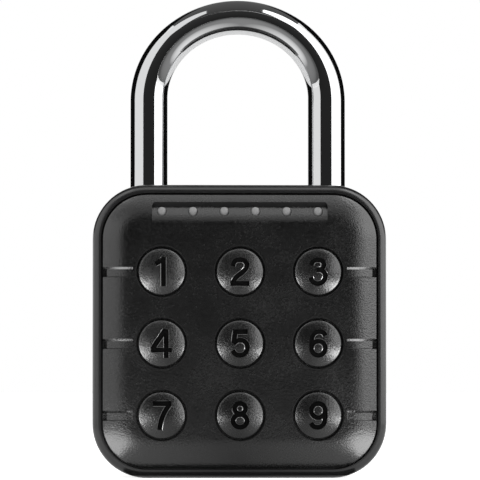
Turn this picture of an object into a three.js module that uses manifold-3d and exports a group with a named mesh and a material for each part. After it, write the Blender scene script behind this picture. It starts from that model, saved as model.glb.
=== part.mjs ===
// Keypad padlock: a die-cast body closed by a crowned front panel with nine domed keys and a row of
// six indicator lights, under a chromed steel shackle. Inside, a small gear motor turns a scroll cam
// that throws two bolts into the legs of the shackle.
//
// Millimetres. The lock is modelled face up, as it lies on a bench: X across, Y from the base to the
// shackle, Z out of the face. The exported group stands it on its base, +Z up, with the face towards
// -Y and the origin under the middle of the body.

import * as THREE from "three";
import { mergeVertices } from "three/addons/utils/BufferGeometryUtils.js";
import Module from "manifold-3d";

const wasm = await Module();
wasm.setup();

// Body and shackle
const SHOULDER_WIDTH = 12; // middle of a leg to the side of the body
const CORNER_RADIUS = 11.5;
const BACK_EDGE_RADIUS = 3;
const SIDE_WALL = 3.75;
const BACK_WALL = 2.5;
const SHACKLE_DIAMETER = 8;
const SHACKLE_RISE = 18.8; // straight leg above the body
const CROWN_HEIGHT_SHARE = 0.937; // height of the bow against a true half circle
const CROWN_THINNING = 0.35; // what bending takes off each side of the bar, at the top of the bow
const SHACKLE_LIFT = 13;

// Face
const RIM_WIDTH = 1.95; // body's edge around the panel, to the middle of the seam
const SEAM_GAP = 0.35;
const PANEL_DROP = 1.4; // how far the panel's edge lies below its flat field
const BORDER_WIDTH = 6.35; // falling border of the panel
const KEY_DIAMETER = 9.8;
const KEY_CLEARANCE = 0.4;
const COLUMN_PITCH = 16.45;
const ROW_PITCH = 15.1;
const KEYS_ABOVE_BASE = 13.2; // base to the lowest row
const LIGHTS_ABOVE_KEYS = 12.7; // top row to the lights
const LIGHTS_BELOW_TOP = 5.7;
const LIGHT_COUNT = 6;
const LIGHT_DIAMETER = 1.8;

// Stack from the back wall to the crown of the keys
const CRADLE_BASE = 2.3;
const MOTOR_DEPTH = 10;
const STRAP_THICKNESS = 0.5;
const BOARD_THICKNESS = 1.2;
const MAT_THICKNESS = 0.8;
const MAT_DOME_HEIGHT = 1.6;
const KEY_FOOT_LENGTH = 1;
const KEY_FLANGE_THICKNESS = 1;
const PANEL_THICKNESS = 2.2;
const KEY_PROUD = 0.8; // crown of a key above the field

// Lock work
const BOLT_THROW = 1.8;
const BOLT_HEIGHT = 4;
const BOLT_WIDTH = 6;
const BOLT_BELOW_TOP = 8.6; // middle of the bolts under the top of the body
const CAM_TURN = THREE.MathUtils.degToRad(100);
const PIN_CIRCLE_RADIUS = 2.2; // bolt pins from the cam's axis with the bolts drawn in
const MOTOR_WIDTH = 12;
const CRADLE_WALL = 1.5;
const MOUNT_CLEARANCE = 1.6; // motor's mount to the guide towers of the legs
const TOWER_WALL = 1.2;

// Screws, all of one thread
const SCREW_RADIUS = 1;
const SCREW_HEAD_RADIUS = 1.9;
const SCREW_HEAD_HEIGHT = 1.1;

// Fits
const SEAT_GAP = 0.1; // between pieces that rest on each other
const SLIDE_GAP = 0.2; // around pieces that slide or turn
const PART_GAP = 0.3; // between neighbours that only pass each other
const CUT_OVERRUN = 1; // how far a cutter passes the faces it cuts

// Facets
const ROUND_STEPS = 24;
const KEY_STEPS = 16;
const SMALL_STEPS = 8;
const CORNER_STEPS = 5;

// Levels across the depth, each from the one behind it
const backSpace = BACK_WALL + SEAT_GAP + CRADLE_BASE + SEAT_GAP + MOTOR_DEPTH;
const strapSpace = SEAT_GAP + STRAP_THICKNESS + PART_GAP + SCREW_HEAD_HEIGHT + SEAT_GAP;
const boardSpace = BOARD_THICKNESS + SEAT_GAP + MAT_THICKNESS + MAT_DOME_HEIGHT + SEAT_GAP;
const keySpace = KEY_FOOT_LENGTH + KEY_FLANGE_THICKNESS + SEAT_GAP + PANEL_THICKNESS + KEY_PROUD;
const totalDepth = backSpace + strapSpace + boardSpace + keySpace;
const backZ = -totalDepth / 2;
const innerBackZ = backZ + BACK_WALL;
const motorFrontZ = backZ + backSpace;
const motorBackZ = motorFrontZ - MOTOR_DEPTH;
const shackleZ = (motorBackZ + motorFrontZ) / 2;
const boardBackZ = motorFrontZ + strapSpace;
const boardFrontZ = boardBackZ + BOARD_THICKNESS;
const matBackZ = boardFrontZ + SEAT_GAP;
const matFrontZ = matBackZ + MAT_THICKNESS;
const keyFootZ = matFrontZ + MAT_DOME_HEIGHT + SEAT_GAP;
const keyFlangeZ = keyFootZ + KEY_FOOT_LENGTH + KEY_FLANGE_THICKNESS;
const panelInnerZ = keyFlangeZ + SEAT_GAP;
const fieldZ = panelInnerZ + PANEL_THICKNESS;
const edgeZ = fieldZ - PANEL_DROP;
const crownZ = fieldZ + KEY_PROUD;

// Places across the face
const sides = [-1, 1];
const keyRadius = KEY_DIAMETER / 2;
const keyColumns = [-1, 0, 1].map((column) => column * COLUMN_PITCH);
const keyRows = [2, 1, 0].map((row) => KEYS_ABOVE_BASE + row * ROW_PITCH);
const keyPlaces = keyRows.flatMap((y) => keyColumns.map((x) => ({ x, y })));
const midRowY = KEYS_ABOVE_BASE + ROW_PITCH;
const betweenRows = sides.map((row) => midRowY + (row * ROW_PITCH) / 2);
const lightY = KEYS_ABOVE_BASE + 2 * ROW_PITCH + LIGHTS_ABOVE_KEYS;
const lightPitch = (2 * COLUMN_PITCH) / (LIGHT_COUNT - 1);
const lightColumns = Array.from({ length: LIGHT_COUNT }, (_, i) => -COLUMN_PITCH + i * lightPitch);
const bodyHeight = lightY + LIGHTS_BELOW_TOP;
const floorY = SIDE_WALL;
const ceilingY = bodyHeight - SIDE_WALL;
const midY = bodyHeight / 2;

// Places across the width, from the motor out to the side of the body
const legRadius = SHACKLE_DIAMETER / 2;
const boreRadius = legRadius + SLIDE_GAP;
const cradleOuterX = MOTOR_WIDTH / 2 + SEAT_GAP + CRADLE_WALL;
const earX = cradleOuterX + SEAT_GAP + STRAP_THICKNESS + SCREW_HEAD_RADIUS;
const earOuterX = earX + SCREW_HEAD_RADIUS;
const towerInnerX = earOuterX + MOUNT_CLEARANCE;
const towerHalf = boreRadius + TOWER_WALL;
const legX = towerInnerX + towerHalf;
const bodyHalf = legX + SHOULDER_WIDTH;
const panelInset = RIM_WIDTH + SEAM_GAP / 2;

// Finishes
const finish = (color, roughness, metalness) =>
  new THREE.MeshStandardMaterial({ color, roughness, metalness });
const blackCoat = finish(0x232324, 0.5, 0.1);
const blackMoulding = finish(0x262626, 0.55, 0);
const chrome = finish(0xd8dadc, 0.06, 1);
const steel = finish(0xa9abad, 0.35, 1);
const brass = finish(0xc09a4e, 0.35, 1);
const zinc = finish(0x8f9194, 0.5, 0.8);
const rubber = finish(0x171717, 0.85, 0);
const diffuser = finish(0xbcbcbc, 0.45, 0);
const silicone = finish(0x8e9295, 0.7, 0);
const boardGreen = finish(0x1d4a2c, 0.5, 0);
const nylon = finish(0x2c2c2e, 0.6, 0);
const cellWrap = finish(0xb9bfc6, 0.35, 0.6);
const foam = finish(0x3a3a3a, 0.95, 0);

// A closed geometry as a solid that can be cut and joined.
function solid(geometry) {
  const bare = geometry.index ? geometry.toNonIndexed() : geometry.clone();
  bare.deleteAttribute("normal");
  bare.deleteAttribute("uv");
  const merged = mergeVertices(bare, MERGE_DISTANCE);
  const corners = merged.index.array;
  const kept = [];
  for (let i = 0; i < corners.length; i += 3) {
    const [a, b, c] = [corners[i], corners[i + 1], corners[i + 2]];
    if (a !== b && b !== c && c !== a) kept.push(a, b, c);
  }
  return new wasm.Manifold(
    new wasm.Mesh({
      numProp: 3,
      vertProperties: merged.attributes.position.array,
      triVerts: new Uint32Array(kept),
    }),
  );
}

// A named piece of the lock, from a solid or a geometry, at its place.
function piece(name, shape, material, place = [0, 0, 0]) {
  let geometry = shape;
  if (!shape.isBufferGeometry) {
    const { vertProperties, triVerts } = shape.getMesh();
    geometry = new THREE.BufferGeometry()
      .setAttribute("position", new THREE.BufferAttribute(vertProperties, 3))
      .setIndex(new THREE.BufferAttribute(triVerts, 1));
    geometry.computeVertexNormals();
  }
  const mesh = new THREE.Mesh(geometry, material);
  mesh.name = name;
  mesh.position.set(...place);
  return mesh;
}

function group(...members) {
  const made = new THREE.Group();
  made.add(...members);
  return made;
}

const MERGE_DISTANCE = 1e-4;
const joined = (first, ...others) => others.reduce((sum, other) => sum.add(other), first);
const cutBy = (first, ...others) => others.reduce((rest, other) => rest.subtract(other), first);
const sideName = (side) => (side < 0 ? "left" : "right");

// A span of the given width about a middle.
const about = (middle, width) => [middle - width / 2, middle + width / 2];

function box([x0, x1], [y0, y1], [z0, z1]) {
  const block = new THREE.BoxGeometry(x1 - x0, y1 - y0, z1 - z0);
  return solid(block.translate((x0 + x1) / 2, (y0 + y1) / 2, (z0 + z1) / 2));
}

// A box given by its spans on the right-hand side, or its mirror image on the left.
const sideBox = (side, [x0, x1], spanY, spanZ) => box(side < 0 ? [-x1, -x0] : [x0, x1], spanY, spanZ);

const rod = (radius, length, steps) => new THREE.CylinderGeometry(radius, radius, length, steps);

// A round bar along Y.
const barUp = (radius, x, z, [y0, y1], steps = ROUND_STEPS) =>
  solid(rod(radius, y1 - y0, steps).translate(x, (y0 + y1) / 2, z));

// A round bar along Z.
const barOut = (radius, x, y, [z0, z1], steps = ROUND_STEPS) =>
  solid(rod(radius, z1 - z0, steps).rotateX(Math.PI / 2).translate(x, y, (z0 + z1) / 2));

// A profile of [radius, height] points turned about its axis, its height along Z.
const turned = (profile, steps = ROUND_STEPS) =>
  new THREE.LatheGeometry(
    profile.map(([radius, height]) => new THREE.Vector2(radius, height)),
    steps,
  ).rotateX(Math.PI / 2);

// Points round a rectangle with round corners, counter-clockwise about the origin.
function roundedOutline(width, height, radius, steps = CORNER_STEPS) {
  const r = Math.min(radius, width / 2 - MERGE_DISTANCE, height / 2 - MERGE_DISTANCE);
  const points = [];
  [[1, 1], [-1, 1], [-1, -1], [1, -1]].forEach(([sideX, sideY], corner) => {
    for (let i = 0; i <= steps; i++) {
      const turn = ((corner + i / steps) * Math.PI) / 2;
      const x = sideX * (width / 2 - r) + r * Math.cos(turn);
      const y = sideY * (height / 2 - r) + r * Math.sin(turn);
      points.push(new THREE.Vector2(x, y));
    }
  });
  return points;
}

const extruded = (outline, depth) =>
  new THREE.ExtrudeGeometry(new THREE.Shape(outline), { depth, bevelEnabled: false });

// An outline pushed out along Z from z0 to z1, centred on x, y.
const plate = (outline, [z0, z1], x = 0, y = 0) => solid(extruded(outline, z1 - z0).translate(x, y, z0));

// An outline in X and -Z pushed up along Y from y0 to y1, centred on x, z.
const plateUp = (outline, [y0, y1], x = 0, z = 0) =>
  solid(extruded(outline, y1 - y0).rotateX(-Math.PI / 2).translate(x, y0, z));

// Closed skin over rings of equally many points, from the first ring to the last.
function skinned(rings) {
  const count = rings[0].length;
  const position = rings.flat().flatMap((p) => [p.x, p.y, p.z]);
  const index = [];
  for (let ring = 0; ring + 1 < rings.length; ring++) {
    for (let i = 0; i < count; i++) {
      const a = ring * count + i;
      const b = ring * count + ((i + 1) % count);
      index.push(a, b, b + count, a, b + count, a + count);
    }
  }
  const last = (rings.length - 1) * count;
  for (let i = 1; i + 1 < count; i++) {
    index.push(0, i + 1, i, last, last + i, last + i + 1);
  }
  return new THREE.BufferGeometry()
    .setAttribute("position", new THREE.Float32BufferAttribute(position, 3))
    .setIndex(index);
}

// The body's outline drawn in by an inset, at one level of the depth.
const bodyRing = (inset, z) =>
  roundedOutline(2 * bodyHalf - 2 * inset, bodyHeight - 2 * inset, CORNER_RADIUS - inset).map(
    (p) => new THREE.Vector3(p.x, p.y + midY, z),
  );

const bodyPlate = (inset, span) => plate(bodyRing(inset, 0).map((p) => new THREE.Vector2(p.x, p.y)), span);

// A pan-head screw whose head rests on the level z = 0 and whose shank runs down from it.
function screw(length) {
  const headRound = SCREW_HEAD_HEIGHT / 3;
  const tipTaper = SCREW_RADIUS / 2;
  return turned(
    [
      [0, -length],
      [SCREW_RADIUS - tipTaper, -length],
      [SCREW_RADIUS, tipTaper - length],
      [SCREW_RADIUS, 0],
      [SCREW_HEAD_RADIUS, 0],
      [SCREW_HEAD_RADIUS, SCREW_HEAD_HEIGHT - headRound],
      [SCREW_HEAD_RADIUS - headRound, SCREW_HEAD_HEIGHT],
      [0, SCREW_HEAD_HEIGHT],
    ],
    SMALL_STEPS,
  );
}

const screwPassage = SCREW_RADIUS + SLIDE_GAP;
const screwPilot = SCREW_RADIUS + SEAT_GAP;

// Front panel: its falling border is an arc that leaves the flat field smoothly. A skirt stiffens its edge.
const SKIRT_DEPTH = 2.6;
const SKIRT_WIDTH = 1.9;
const EDGE_ROUND = 0.25;
const HOLE_CHAMFER = 0.25;
const POST_RADIUS = 1.9;
const BORDER_STEPS = 5;
const borderRadius = (BORDER_WIDTH ** 2 + PANEL_DROP ** 2) / (2 * PANEL_DROP);
const borderZ = (run) => fieldZ - borderRadius + Math.sqrt(borderRadius ** 2 - run ** 2);
const skirtBackZ = edgeZ - SKIRT_DEPTH;
const fieldTopY = bodyHeight - panelInset - BORDER_WIDTH;
const fieldSideX = bodyHalf - panelInset - BORDER_WIDTH;
const keyHoleRadius = keyRadius + KEY_CLEARANCE;
const boardPosts = betweenRows.flatMap((y) => sides.map((side) => ({ x: (side * COLUMN_PITCH) / 2, y })));

// Recess of the lights: its floor falls faster than the border and ends at a sloping wall.
const RECESS_MARGIN = 2.05; // recess beyond the outer lights
const RECESS_DEPTH = 0.9;
const RECESS_WALL_RUN = 1.3;
const RECESS_CORNER = 1.5;
const RECESS_FOOT_OFFSET = 1.1; // foot of the sloping wall above the row of lights
const LIGHT_SUNK = 0.3;
const LIGHT_CLEARANCE = 0.1;
const recessWidth = 2 * (COLUMN_PITCH + RECESS_MARGIN);
const recessFootY = lightY + RECESS_FOOT_OFFSET;
const recessRun = recessFootY - fieldTopY;
const recessZ = (run) => borderZ(run) - RECESS_DEPTH * (run / recessRun) ** 2;

function lightRecess() {
  const profile = [];
  for (let step = 0; step <= BORDER_STEPS; step++) {
    const run = (recessRun * step) / BORDER_STEPS;
    profile.push(new THREE.Vector2(-recessZ(run), fieldTopY + run));
  }
  const clearZ = fieldZ + CUT_OVERRUN;
  const wallLean = RECESS_WALL_RUN / RECESS_DEPTH;
  const wallTopY = recessFootY + wallLean * (clearZ - recessZ(recessRun));
  profile.push(new THREE.Vector2(-clearZ, wallTopY), new THREE.Vector2(-clearZ, fieldTopY));
  const scoop = solid(
    extruded(profile.reverse(), recessWidth)
      .rotateY(Math.PI / 2)
      .translate(-recessWidth / 2, 0, 0),
  );
  const wallY = recessFootY + RECESS_WALL_RUN;
  const reach = 2 * (wallY - fieldTopY);
  const footprint = roundedOutline(recessWidth, reach, RECESS_CORNER);
  return scoop.intersect(plate(footprint, [panelInnerZ, clearZ + CUT_OVERRUN], 0, wallY - reach / 2));
}

// Side grooves beside the key rows, with a deeper pocket at the seam.
const GROOVE_HEIGHT = 2;
const GROOVE_DEPTH = 0.55;
const POCKET_WIDTH = 0.9;
const POCKET_DEPTH = 1.5;

function sideGroove(side, y) {
  const profile = [];
  for (let step = 0; step <= BORDER_STEPS; step++) {
    const run = (BORDER_WIDTH * step) / BORDER_STEPS;
    profile.push(new THREE.Vector2(fieldSideX + run, borderZ(run) - GROOVE_DEPTH * (run / BORDER_WIDTH)));
  }
  const outX = bodyHalf;
  const clearZ = fieldZ + CUT_OVERRUN;
  profile.push(
    new THREE.Vector2(outX, edgeZ - GROOVE_DEPTH),
    new THREE.Vector2(outX, clearZ),
    new THREE.Vector2(fieldSideX, clearZ),
  );
  const channel = solid(
    extruded(profile, GROOVE_HEIGHT)
      .rotateX(Math.PI / 2)
      .scale(1, 1, -1)
      .translate(0, y + GROOVE_HEIGHT / 2, 0),
  );
  const pocketSpan = [outX - panelInset - POCKET_WIDTH, outX];
  const pocket = sideBox(side, pocketSpan, about(y, GROOVE_HEIGHT), [edgeZ - POCKET_DEPTH, clearZ]);
  return pocket.add(side < 0 ? channel.mirror([1, 0, 0]) : channel);
}

// A key's hole, its outer edge broken by a small chamfer.
function keyHole({ x, y }) {
  const profile = [
    [0, panelInnerZ - CUT_OVERRUN],
    [keyHoleRadius, panelInnerZ - CUT_OVERRUN],
    [keyHoleRadius, fieldZ - HOLE_CHAMFER],
    [keyHoleRadius + HOLE_CHAMFER + CUT_OVERRUN, fieldZ + CUT_OVERRUN],
    [0, fieldZ + CUT_OVERRUN],
  ];
  return solid(turned(profile, KEY_STEPS).translate(x, y, 0));
}

function frontPanel() {
  const rings = [bodyRing(panelInset, skirtBackZ), bodyRing(panelInset, edgeZ - EDGE_ROUND)];
  for (let step = BORDER_STEPS; step >= 0; step--) {
    const run = (BORDER_WIDTH * step) / BORDER_STEPS;
    const inset = panelInset + Math.max(BORDER_WIDTH - run, EDGE_ROUND / 2);
    rings.push(bodyRing(inset, borderZ(run)));
  }
  const underside = bodyPlate(panelInset + SKIRT_WIDTH, [skirtBackZ - CUT_OVERRUN, panelInnerZ]);
  const shell = solid(skinned(rings)).subtract(underside);
  const posts = boardPosts.map(({ x, y }) =>
    barOut(POST_RADIUS, x, y, [boardFrontZ + SEAT_GAP, panelInnerZ + SEAT_GAP], SMALL_STEPS),
  );
  const bosses = panelScrews.map(({ x, y }) =>
    barOut(POST_RADIUS, x, y, [ledgeZ + SEAT_GAP, panelInnerZ + SEAT_GAP], SMALL_STEPS),
  );
  const lightBore = LIGHT_DIAMETER / 2 + LIGHT_CLEARANCE;
  const through = [panelInnerZ - CUT_OVERRUN, fieldZ + CUT_OVERRUN];
  return cutBy(
    joined(shell, ...posts, ...bosses),
    lightRecess(),
    ...keyPlaces.map(keyHole),
    ...lightColumns.map((x) => barOut(lightBore, x, lightY, through, SMALL_STEPS)),
    ...keyRows.flatMap((y) => sides.map((side) => sideGroove(side, y))),
    ...boardPosts.map(({ x, y }) => barOut(screwPilot, x, y, [boardBackZ, boardScrewTipZ], SMALL_STEPS)),
    ...panelScrews.map(({ x, y }) =>
      barOut(screwPilot, x, y, [ledgeZ - CUT_OVERRUN, panelScrewTipZ], SMALL_STEPS),
    ),
  );
}

// Gasket between the panel's skirt and the ledge of the body.
const GASKET_THICKNESS = 1;
const GASKET_WIDTH = 1.2;
const GASKET_INSET = 2.1;
const ledgeZ = skirtBackZ - GASKET_THICKNESS - 2 * SEAT_GAP;

function panelGasket() {
  const span = [ledgeZ + SEAT_GAP, skirtBackZ - SEAT_GAP];
  const [low, high] = span;
  const hole = bodyPlate(GASKET_INSET + GASKET_WIDTH, [low - CUT_OVERRUN, high + CUT_OVERRUN]);
  return bodyPlate(GASKET_INSET, span).subtract(hole);
}

// Keys: domed caps with a flange that stops them behind the panel and a foot that presses the mat.
const KEY_CROWN = 0.85; // rise of the dome
const KEY_EDGE_ROUND = 0.3;
const KEY_FLANGE_WIDTH = 1.3;
const KEY_FOOT_RADIUS = 2.2;
const DOME_STEPS = 3;

function key() {
  const flangeRadius = keyRadius + KEY_FLANGE_WIDTH;
  const domeRadius = (keyRadius ** 2 + KEY_CROWN ** 2) / (2 * KEY_CROWN);
  const domeZ = (r) => crownZ - domeRadius + Math.sqrt(domeRadius ** 2 - r ** 2);
  const domeEdge = keyRadius - KEY_EDGE_ROUND;
  const profile = [
    [0, keyFootZ],
    [KEY_FOOT_RADIUS, keyFootZ],
    [KEY_FOOT_RADIUS, keyFlangeZ - KEY_FLANGE_THICKNESS],
    [flangeRadius, keyFlangeZ - KEY_FLANGE_THICKNESS],
    [flangeRadius, keyFlangeZ],
    [keyRadius, keyFlangeZ],
    [keyRadius, domeZ(domeEdge) - KEY_EDGE_ROUND],
  ];
  for (let step = DOME_STEPS; step > 0; step--) {
    const r = (domeEdge * step) / DOME_STEPS;
    profile.push([r, domeZ(r)]);
  }
  profile.push([0, crownZ]);
  return turned(profile, KEY_STEPS);
}

// Light guide: one clear bar behind the panel with a pin for each light.
const GUIDE_WIDTH = 2.4;
const GUIDE_THICKNESS = 1.5;

function lightGuide() {
  const lightFloorZ = recessZ(lightY - fieldTopY);
  const length = 2 * COLUMN_PITCH + 2 * GUIDE_WIDTH;
  const frontZ = panelInnerZ - SEAT_GAP;
  const outline = roundedOutline(length, GUIDE_WIDTH, GUIDE_WIDTH / 2);
  const bar = plate(outline, [frontZ - GUIDE_THICKNESS, frontZ], 0, lightY);
  const pinSpan = [frontZ - GUIDE_THICKNESS / 2, lightFloorZ - LIGHT_SUNK];
  const pins = lightColumns.map((x) =>
    barOut(LIGHT_DIAMETER / 2, x, lightY, pinSpan, SMALL_STEPS),
  );
  return joined(bar, ...pins);
}

// Keypad mat: a silicone sheet with a hollow dome under each key.
const MAT_MARGIN = 6.2; // sheet above and below the middles of the outer keys
const DOME_FOOT_RADIUS = 3.6;
const DOME_TOP_RADIUS = 2.2;

function keypadMat() {
  const width = 2 * (panelScrewX - POST_RADIUS - 2 * PART_GAP);
  const height = 2 * (ROW_PITCH + MAT_MARGIN);
  const outline = roundedOutline(width, height, MAT_MARGIN / 2);
  const sheet = plate(outline, [matBackZ, matFrontZ], 0, midRowY);
  const cone = (footRadius, topRadius, [z0, z1], { x, y }) =>
    solid(turned([[0, z0], [footRadius, z0], [topRadius, z1], [0, z1]], SMALL_STEPS).translate(x, y, 0));
  const outer = [matFrontZ - MAT_THICKNESS / 2, matFrontZ + MAT_DOME_HEIGHT];
  const inner = [matBackZ - SEAT_GAP, matFrontZ + MAT_DOME_HEIGHT - MAT_THICKNESS];
  return cutBy(
    joined(sheet, ...keyPlaces.map((place) => cone(DOME_FOOT_RADIUS, DOME_TOP_RADIUS, outer, place))),
    ...keyPlaces.map((place) =>
      cone(DOME_FOOT_RADIUS - MAT_THICKNESS, DOME_TOP_RADIUS - MAT_THICKNESS, inner, place),
    ),
    ...boardPosts.map(({ x, y }) =>
      barOut(POST_RADIUS + PART_GAP, x, y, [matBackZ - CUT_OVERRUN, matFrontZ + CUT_OVERRUN], SMALL_STEPS),
    ),
  );
}

// Control board with its chips, lamps and two connectors.
const BOARD_MARGIN = 0.6; // between the board's edge and the skirt of the panel
const CHIP_SIZE = 7;
const CHIP_HEIGHT = 0.9;
const LAMP_SIZE = 1.6;
const CONNECTOR_LENGTH = 8;
const CONNECTOR_WIDTH = 4;
const CONNECTOR_HEIGHT = 3;
const boardScrewTipZ = boardFrontZ + BOARD_THICKNESS + POST_RADIUS;

function controlBoard() {
  const board = bodyPlate(panelInset + SKIRT_WIDTH + BOARD_MARGIN, [boardBackZ, boardFrontZ]);
  const sunk = BOARD_THICKNESS / 2;
  const behind = (height) => [boardBackZ - height, boardBackZ + sunk];
  const chipY = midRowY - ROW_PITCH / 2;
  const chip = box(about(-COLUMN_PITCH, CHIP_SIZE), about(chipY, CHIP_SIZE), behind(CHIP_HEIGHT));
  const driver = box(about(COLUMN_PITCH, CHIP_SIZE / 2), about(chipY, CHIP_SIZE), behind(CHIP_HEIGHT));
  const connectors = [0, 1].map((row) =>
    box(
      about(COLUMN_PITCH, CONNECTOR_LENGTH),
      about(midRowY + row * (CONNECTOR_WIDTH + CONNECTOR_HEIGHT), CONNECTOR_WIDTH),
      behind(CONNECTOR_HEIGHT),
    ),
  );
  const lampZ = [boardFrontZ - sunk, boardFrontZ + LAMP_SIZE / 2];
  const lamps = lightColumns.map((x) =>
    box(about(x, LAMP_SIZE), about(lightY, LAMP_SIZE / 2), lampZ),
  );
  const through = [boardBackZ - CUT_OVERRUN, boardFrontZ + CUT_OVERRUN];
  return cutBy(
    joined(board, chip, driver, ...connectors, ...lamps),
    ...panelScrews.map(({ x, y }) => barOut(POST_RADIUS + PART_GAP, x, y, through, SMALL_STEPS)),
    ...boardPosts.map(({ x, y }) => barOut(screwPassage, x, y, through, SMALL_STEPS)),
  );
}

// Body: a tub open to the face, with a guide tower for each leg of the shackle.
const RIM_ROUND = 1.55;
const EDGE_STEPS = 4;
const TOE_SOCKET_DEPTH = 2.2; // floor of the toe's socket below the toe
const HEEL_FLOOR = 2.2; // metal under the heel's bore, above the base wall
const PILLAR_RADIUS = 2.2;
const PANEL_SCREW_INSET = 5.6; // panel screws from the sides of the body
const SCREWS_BELOW_LIGHTS = 6.7; // upper panel screws; the lower ones stand between two rows of keys
const PANEL_SCREW_BITE = 2.4; // screw in the panel
const SCREW_RECESS = 1.5;
const BLIND_BITE = 1.5; // screw in the back wall
const towerFrontZ = shackleZ + towerHalf;
const panelScrewTipZ = ledgeZ + PANEL_SCREW_BITE;
const panelScrewX = bodyHalf - PANEL_SCREW_INSET;
const panelScrewRows = [midRowY - ROW_PITCH / 2, lightY - SCREWS_BELOW_LIGHTS];
const panelScrews = panelScrewRows.flatMap((y) => sides.map((side) => ({ x: side * panelScrewX, y })));
const heelFloorY = floorY + HEEL_FLOOR;
const boltLowY = bodyHeight - BOLT_BELOW_TOP - BOLT_HEIGHT / 2;
const boltSpan = about(boltLowY + BOLT_HEIGHT / 2, BOLT_HEIGHT);
const boltPassage = about(boltLowY + BOLT_HEIGHT / 2, BOLT_HEIGHT + 2 * SLIDE_GAP);
const boltDepth = about(shackleZ, BOLT_WIDTH + 2 * SLIDE_GAP);

function housing() {
  const rings = [];
  for (let step = 0; step <= EDGE_STEPS; step++) {
    const turn = ((step / EDGE_STEPS) * Math.PI) / 2;
    const inset = BACK_EDGE_RADIUS * (1 - Math.sin(turn));
    rings.push(bodyRing(inset, backZ + BACK_EDGE_RADIUS * (1 - Math.cos(turn))));
  }
  for (let step = 0; step <= EDGE_STEPS; step++) {
    const turn = ((step / EDGE_STEPS) * Math.PI) / 2;
    rings.push(bodyRing(RIM_ROUND * (1 - Math.cos(turn)), edgeZ - RIM_ROUND * (1 - Math.sin(turn))));
  }
  const hollow = bodyPlate(SIDE_WALL, [innerBackZ, ledgeZ + CUT_OVERRUN]);
  const mouth = bodyPlate(RIM_WIDTH - SEAM_GAP / 2, [ledgeZ, edgeZ + CUT_OVERRUN]);
  const tub = solid(skinned(rings)).subtract(hollow.add(mouth));

  const towerX = [towerInnerX, legX + towerHalf];
  const rootedZ = [innerBackZ - SEAT_GAP, towerFrontZ];
  const rootedTopY = ceilingY + SEAT_GAP;
  const heelTower = sideBox(-1, towerX, [floorY - SEAT_GAP, rootedTopY], rootedZ);
  const toeTower = sideBox(1, towerX, [toeEndY - TOE_SOCKET_DEPTH - TOWER_WALL, rootedTopY], rootedZ);
  const pillars = panelScrews.map(({ x, y }) =>
    barOut(PILLAR_RADIUS, x, y, [innerBackZ - SEAT_GAP, ledgeZ], SMALL_STEPS),
  );

  const outY = bodyHeight + CUT_OVERRUN;
  const heelBore = barUp(boreRadius, -legX, shackleZ, [heelFloorY, outY]);
  const toeBore = barUp(boreRadius, legX, shackleZ, [toeEndY - TOE_SOCKET_DEPTH, outY]);
  const boltX = [towerInnerX - CUT_OVERRUN, legX];
  const windows = sides.map((side) => sideBox(side, boltX, boltPassage, boltDepth));
  const sealSeats = sides.map((side) =>
    barUp(sealRadius + SEAT_GAP, side * legX, shackleZ, [sealLowY - SEAT_GAP, outY]),
  );
  const screwHoles = panelScrews.flatMap(({ x, y }) => [
    barOut(screwPassage, x, y, [backZ - CUT_OVERRUN, ledgeZ + CUT_OVERRUN], SMALL_STEPS),
    barOut(SCREW_HEAD_RADIUS + SLIDE_GAP, x, y, [backZ - CUT_OVERRUN, backZ + SCREW_RECESS], KEY_STEPS),
  ]);
  const blindHoles = [...blockScrews, ...strapScrews].map(({ x, y }) =>
    barOut(screwPilot, x, y, [innerBackZ - BLIND_BITE, innerBackZ + CUT_OVERRUN], SMALL_STEPS),
  );
  return cutBy(
    joined(tub, heelTower, toeTower, ...pillars),
    heelBore,
    toeBore,
    ...windows,
    ...sealSeats,
    ...screwHoles,
    ...blindHoles,
    keeperPinSolid(SEAT_GAP, [keeperBackZ - SEAT_GAP, towerFrontZ + CUT_OVERRUN]),
    plateUp(stadium(PORT_WIDTH, PORT_HEIGHT), [-CUT_OVERRUN, floorY + CUT_OVERRUN], 0, portZ),
    plateUp(stadium(PLUG_WIDTH, PLUG_HEIGHT), [-CUT_OVERRUN, PLUG_RECESS], 0, portZ),
  );
}

// Rubber seals around the legs, flush with the shoulders of the body.
const SEAL_WALL = 1.1;
const SEAL_EDGE_HEIGHT = 1; // seal at its lowest, under the corner round of the body
const sealInnerRadius = legRadius + SEAT_GAP;
const sealRadius = sealInnerRadius + SEAL_WALL;
const cornerRun = legX + sealRadius - (bodyHalf - CORNER_RADIUS);
const cornerFall = CORNER_RADIUS - Math.sqrt(CORNER_RADIUS ** 2 - cornerRun ** 2);
const sealLowY = bodyHeight - cornerFall - SEAL_EDGE_HEIGHT;

function shackleSeal(side) {
  const outY = bodyHeight + CUT_OVERRUN;
  const bore = barUp(sealInnerRadius, side * legX, shackleZ, [sealLowY - CUT_OVERRUN, outY + CUT_OVERRUN]);
  return barUp(sealRadius, side * legX, shackleZ, [sealLowY, outY])
    .subtract(bore)
    .intersect(bodyPlate(0, [backZ, edgeZ]));
}

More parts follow.
